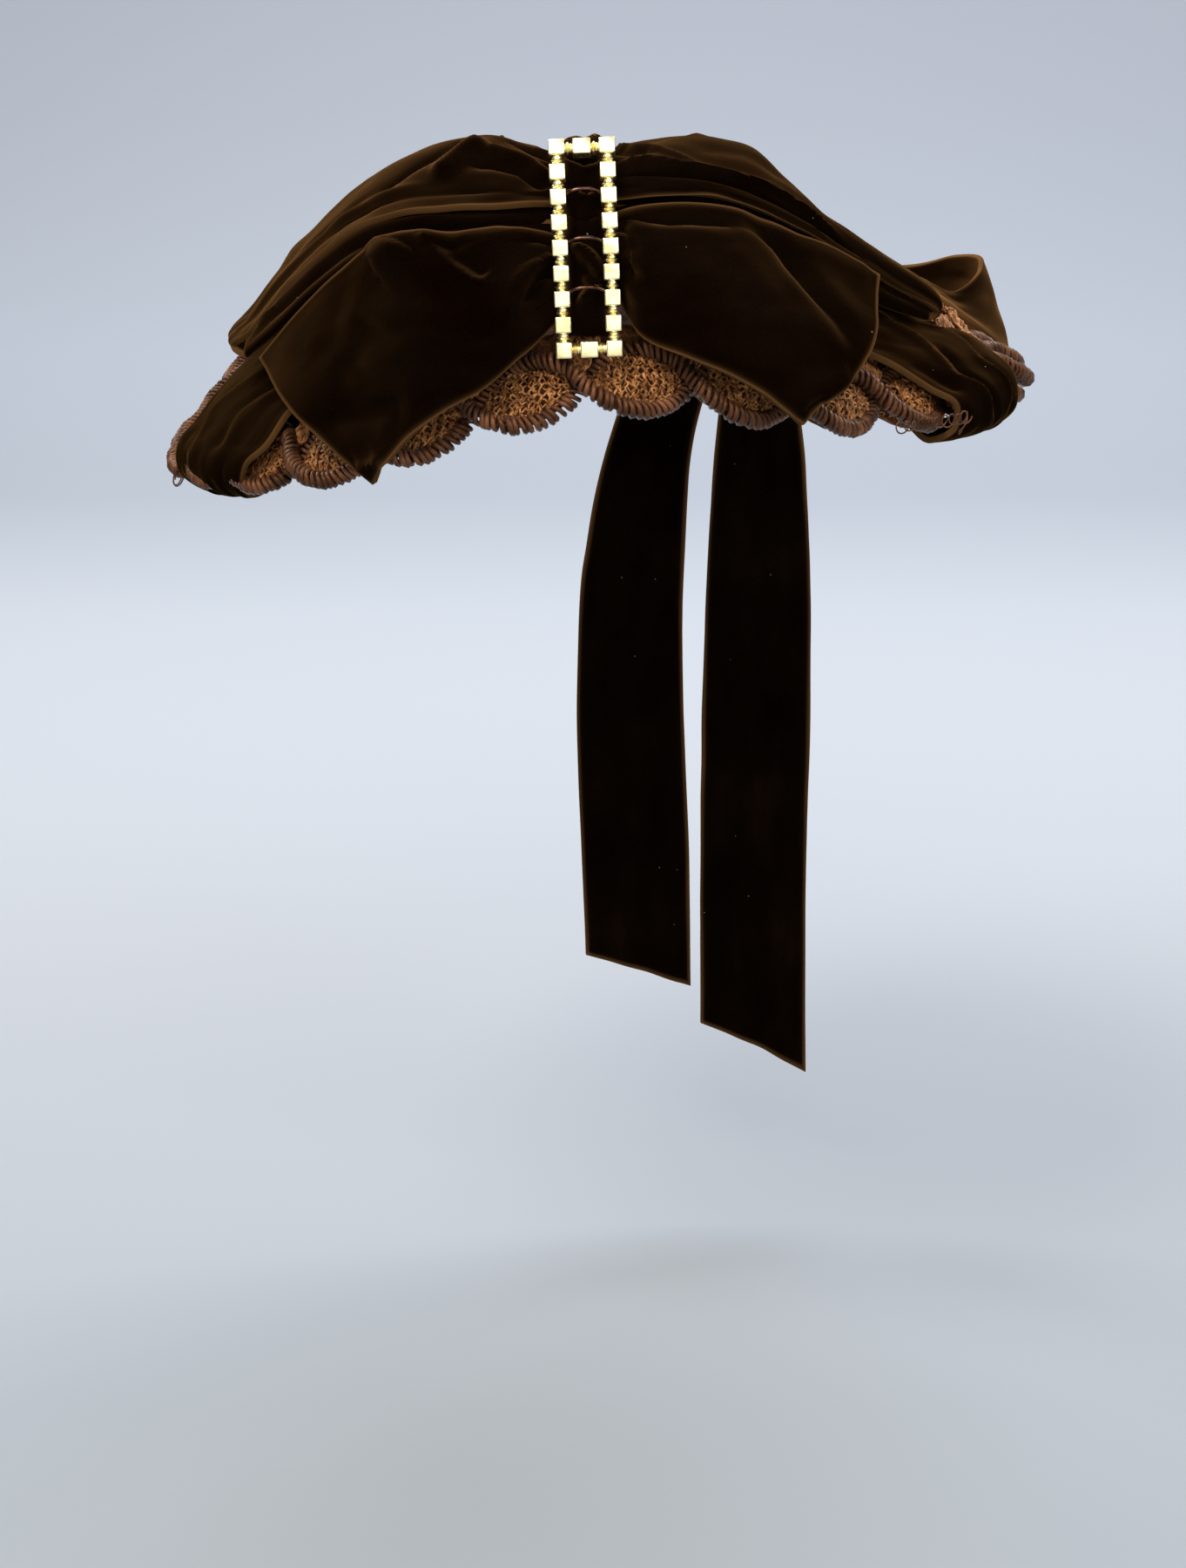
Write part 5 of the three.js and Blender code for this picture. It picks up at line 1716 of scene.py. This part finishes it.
@dataclass
class Buckle:
    """A curved frame of square beads with turned necks between, and three wires across it."""

    finish: bpy.types.Material
    wire_finish: bpy.types.Material
    column_spacing: float = 9.8
    beads: int = 9
    pitch: float = 4.86
    bead: float = 3.15
    bar_bead: float = 3.5
    bend_radius: float = 101.0
    seat: Place = (-0.7, -114.0, -28.0)
    roll: float = -0.04

    def placing(self, side: float, height: float) -> Matrix:
        """Where a bead sits on the curved frame.

        Args:
            side: distance across the frame.
            height: distance up along its curve.

        Returns:
            The matrix, in metres.
        """
        lean = height / self.bend_radius
        back = self.bend_radius * (1 - math.cos(lean))
        up = self.bend_radius * math.sin(lean)
        turn = Matrix.Rotation(-lean, 4, "X")
        offset = Vector((side, back, up))
        seat = Matrix.Translation(Vector(self.seat) * MM) @ Matrix.Rotation(self.roll, 4, "Y")
        return seat @ Matrix.Translation(offset * MM) @ turn

    def bead_mesh(self, width: float) -> bpy.types.Object:
        """One square bead with softened edges.

        Args:
            width: its width across the frame.

        Returns:
            The bead at the origin.
        """
        deselect_all()
        bpy.ops.mesh.primitive_cube_add(size=1.0)
        bead = bpy.context.active_object
        bpy.ops.object.mode_set(mode="EDIT")
        bpy.ops.mesh.select_all(action="SELECT")
        size = (width * MM, self.bead * MM, self.bead * MM)
        bpy.ops.transform.resize(value=size, center_override=(0.0, 0.0, 0.0))
        bpy.ops.mesh.bevel(offset=0.34 * MM, segments=3, profile=0.55)
        bpy.ops.object.mode_set(mode="OBJECT")
        return bead

    def neck_mesh(self, length: float) -> bpy.types.Object:
        """One turned neck along Z: a slim stem with a fat ring and a thin ring.

        Args:
            length: its length.

        Returns:
            The neck at the origin.
        """
        fat_ring = ((-0.5, 0.75), (-0.32, 0.8), (-0.24, 1.12), (-0.1, 1.3), (0.04, 1.12))
        thin_ring = ((0.1, 0.85), (0.18, 1.0), (0.28, 1.0), (0.34, 0.8), (0.5, 0.8))
        profile = fat_ring + thin_ring
        deselect_all()
        bpy.ops.mesh.primitive_circle_add(vertices=16, radius=profile[0][1] * MM, fill_type="NGON")
        neck = bpy.context.active_object
        bpy.ops.object.mode_set(mode="EDIT")
        bpy.ops.mesh.select_all(action="SELECT")
        bpy.ops.transform.translate(value=(0.0, 0.0, profile[0][0] * length * MM))
        for (low, before), (high, after) in zip(profile, profile[1:]):
            bpy.ops.mesh.extrude_region_move()
            step = (high - low) * length * MM
            bpy.ops.transform.translate(value=(0.0, 0.0, step))
            middle = (0.0, 0.0, high * length * MM)
            bpy.ops.transform.resize(value=(after / before, after / before, 1.0), center_override=middle)
        bpy.ops.mesh.select_all(action="SELECT")
        bpy.ops.mesh.normals_make_consistent(inside=False)
        bpy.ops.object.mode_set(mode="OBJECT")
        return neck

    def copies(self, model: bpy.types.Object, places: Sequence[Matrix]) -> list[bpy.types.Object]:
        """Copies of a small part, each with its own mesh, in their places.

        Args:
            model: the part, which is removed at the end.
            places: the matrix of each copy.

        Returns:
            The copies.
        """
        made = []
        for place in places:
            copy = model.copy()
            copy.data = model.data.copy()
            copy.data.transform(place)
            bpy.context.scene.collection.objects.link(copy)
            made.append(copy)
        bpy.data.objects.remove(model)
        return made

    def build_frame(self) -> bpy.types.Object:
        """Makes the soldered frame.

        Returns:
            The finished piece.
        """
        half = self.column_spacing / 2
        top = (self.beads - 1) * self.pitch
        sides = (-half, half)
        columns = [self.placing(s, i * self.pitch) for s in sides for i in range(self.beads)]
        gaps = [self.placing(s, (i + 0.5) * self.pitch) for s in sides for i in range(self.beads - 1)]
        bars = [self.placing(0.0, height) for height in (0.0, top)]
        link = (self.column_spacing - self.bead - self.bar_bead) / 2
        reach = (self.bar_bead + link) / 2
        crosswise = Matrix.Rotation(math.pi / 2, 4, "Y")
        links = [self.placing(s, height) @ crosswise for s in (-reach, reach) for height in (0.0, top)]
        parts = self.copies(self.bead_mesh(self.bead), columns)
        parts += self.copies(self.bead_mesh(self.bar_bead), bars)
        parts += self.copies(self.neck_mesh(self.pitch - self.bead + 0.3), gaps)
        parts += self.copies(self.neck_mesh(link + 0.3), links)
        piece = join_pieces("beaded_buckle", parts)
        shade_smooth(piece, 38.0)
        hand_in(piece, self.finish, "gilt", "buckle")
        return piece

    def build_wire(self, number: int, height: float, half_span: float) -> bpy.types.Object:
        """Makes one wire that arches across the frame.

        Args:
            number: its number, from 1.
            height: its height up the frame's curve.
            half_span: half its length.

        Returns:
            The finished piece.
        """
        shares = np.linspace(-1.0, 1.0, 21)
        place = self.placing(0.0, height)
        line = []
        for share in shares:
            arch = 1 - abs(share) ** 2.6
            point = Vector((share * half_span, -0.2 - 0.7 * arch, 0.8 * arch)) * MM
            line.append(tuple((place @ point) / MM))
        piece = strands_piece(f"arched_wire_{number}", [Strand(np.array(line), 0.4)], 2)
        hand_in(piece, self.wire_finish, "bronze", f"buckle_wire_{number}")
        return piece

    def build(self) -> None:
        """Makes the frame and its wires."""
        self.build_frame()
        for number, (height, half_span) in enumerate(((29.8, 3.3), (20.4, 3.45), (11.0, 3.45)), 1):
            self.build_wire(number, height, half_span)


@dataclass(frozen=True)
class Lamp:
    """A soft light: where it hangs, where it points, its size and its power."""

    name: str
    place: Place
    target: Place
    size: float
    power: float
    tint: str = "ffffff"

    def hang(self) -> None:
        """Adds the light."""
        data = bpy.data.lights.new(self.name, "AREA")
        data.size = self.size
        data.energy = self.power
        data.color = colour(self.tint)[:3]
        light = bpy.data.objects.new(self.name, data)
        bpy.context.scene.collection.objects.link(light)
        light.location = self.place
        aim = Vector(self.target) - Vector(self.place)
        light.rotation_euler = aim.to_track_quat("-Z", "Y").to_euler()


@dataclass
class Studio:
    """The pale seamless backdrop, its light, and the camera at the photo's angle."""

    floor_height: float = -0.312
    camera_place: Place = (0.0, -0.676, 0.032)
    camera_pitch: float = 14.7
    camera_lens: float = 66.0
    wall: str = "a3a5ab"
    floor: str = "abb0b6"
    near: str = "8a9096"
    sky: str = "dfe8f2"
    sky_power: float = 0.55
    lamps: tuple[Lamp, ...] = (
        Lamp("key", (-0.55, -1.1, 1.15), (0.0, -0.02, -0.03), 0.55, 26.0, "fff8ee"),
        Lamp("fill", (0.9, -0.9, 0.5), (0.0, 0.0, -0.05), 0.9, 10.0, "f2f6ff"),
        Lamp("front", (0.05, -1.2, 0.72), (0.0, 0.0, -0.04), 0.4, 5.0, "fff6e4"),
        Lamp("low_front", (0.0, -1.3, -0.15), (0.0, -0.1, -0.03), 0.9, 4.4, "fff6e4"),
        Lamp("rim_left", (-0.9, 0.55, 0.75), (0.0, 0.0, 0.0), 0.5, 10.0, "fff6ea"),
        Lamp("rim_right", (0.9, 0.6, 0.7), (0.0, 0.0, 0.0), 0.5, 8.0, "fff6ea"),
        Lamp("backdrop", (0.2, 0.7, 1.6), (0.1, 1.6, 0.2), 1.2, 34.0, "eef4ff"),
    )

    def build_backdrop(self) -> None:
        """Makes the floor, which curves up into the wall behind."""
        t = np.linspace(0.0, math.pi / 2, 13)
        radius, back = 900.0, 1500.0
        curve = [(-3000.0, 0.0), (back, 0.0)]
        curve += [(back + radius * math.sin(a), radius * (1 - math.cos(a))) for a in t[1:]]
        curve.append((back + radius, 3600.0))
        profile = np.array(curve)
        x = np.linspace(-4500.0, 4500.0, 9)[:, None]
        places = np.empty((9, len(profile), 3))
        places[..., 0] = x
        places[..., 1] = profile[:, 0]
        places[..., 2] = profile[:, 1] + self.floor_height / MM
        floor = grid_piece("studio_floor", places)
        shade_smooth(floor)
        bench = Bench("seamless_paper")
        bench.set(Roughness=0.8, Specular_IOR_Level=0.1)
        split = bench.nodes.new("ShaderNodeSeparateXYZ")
        bench.links.new(bench.stretch("Object", (1.0, 0.4, 1.0)), split.inputs["Vector"])
        depth = split.outputs["Y"]
        # The paper is one colour; these stops are painted shading: darker in front of the hat, lighter
        # further back, a little darker again up the wall.
        front = (0.0, self.near), (0.15, "999da3"), (0.42, self.floor)
        bench.paint("Base Color", bench.ramp(depth, *front, (0.74, "afb4ba"), (0.92, self.wall)))
        floor.data.materials.clear()
        floor.data.materials.append(bench.material)

    def build_light(self) -> None:
        """Hangs the lamps and sets the room's own light."""
        world = bpy.data.worlds.new("studio")
        world.use_nodes = True
        sky = world.node_tree.nodes["Background"]
        sky.inputs["Color"].default_value = colour(self.sky)
        sky.inputs["Strength"].default_value = self.sky_power
        bpy.context.scene.world = world
        for lamp in self.lamps:
            lamp.hang()

    def build_camera(self) -> None:
        """Sets the camera where the photo was taken from."""
        data = bpy.data.cameras.new("camera")
        data.lens = self.camera_lens
        data.sensor_width = 36.0
        camera = bpy.data.objects.new("camera", data)
        camera.location = self.camera_place
        camera.rotation_euler = (math.radians(90.0 - self.camera_pitch), 0.0, 0.0)
        bpy.context.scene.collection.objects.link(camera)
        bpy.context.scene.camera = camera

    def build(self) -> None:
        """Makes the whole studio."""
        bpy.context.scene.view_settings.view_transform = "Standard"
        self.build_camera()
        self.build_light()
        self.build_backdrop()


BRAID = Straw(
    *("straw_braid", "3a2414", "67462a", "8a6440", 0.7, 0.0, (900.0, 2600.0, 1.0)),
    depth=0.3,
    gloss="b98a5c",
    patch=900.0,
    row=6.4,
)
LACE = Straw(
    *("straw_lace", "341c0d", "80502d", "c89058", 0.25, 0.0, (1200.0, 3000.0, 1.0)),
    gloss="ffd0a0",
    patch=700.0,
)
# Darker than the lace: painted shade in the gaps behind the pads' strands.
GROUND = Straw(
    *("shaded_lace", "2c180d", "553420", "82552f", 0.6, 0.0, (1200.0, 3000.0, 1.0)),
    gloss="c89060",
    patch=700.0,
)
COILED = Straw("coiled_straw", "190d07", "3e2518", "714a34", 0.22, 0.0, (900.0, 2600.0, 1.0), 0.04, "d8a070")
GILT = Metal("pale_gilt", "fbf0c4", "ecd899", 0.28)
BRONZE = Metal("dark_bronze", "5c4232", "2c1a12", 0.17)


def main() -> None:
    """Builds the studio and every piece of the hat."""
    logging.basicConfig(level=logging.INFO, format="%(name)s: %(message)s")
    Studio().build()
    braid = BRAID.build()
    Crown(braid).build()
    Brim(braid).build()
    coiled = COILED.build()
    EdgeTrim(coiled, LACE.build(), GROUND.build()).build()
    LooseTurns(coiled).build()
    velvet = Velvet().build()
    for ribbon in velvet_ribbons():
        ribbon.build(velvet)
    Buckle(GILT.build(), BRONZE.build()).build()


if __name__ == "__main__":
    main()
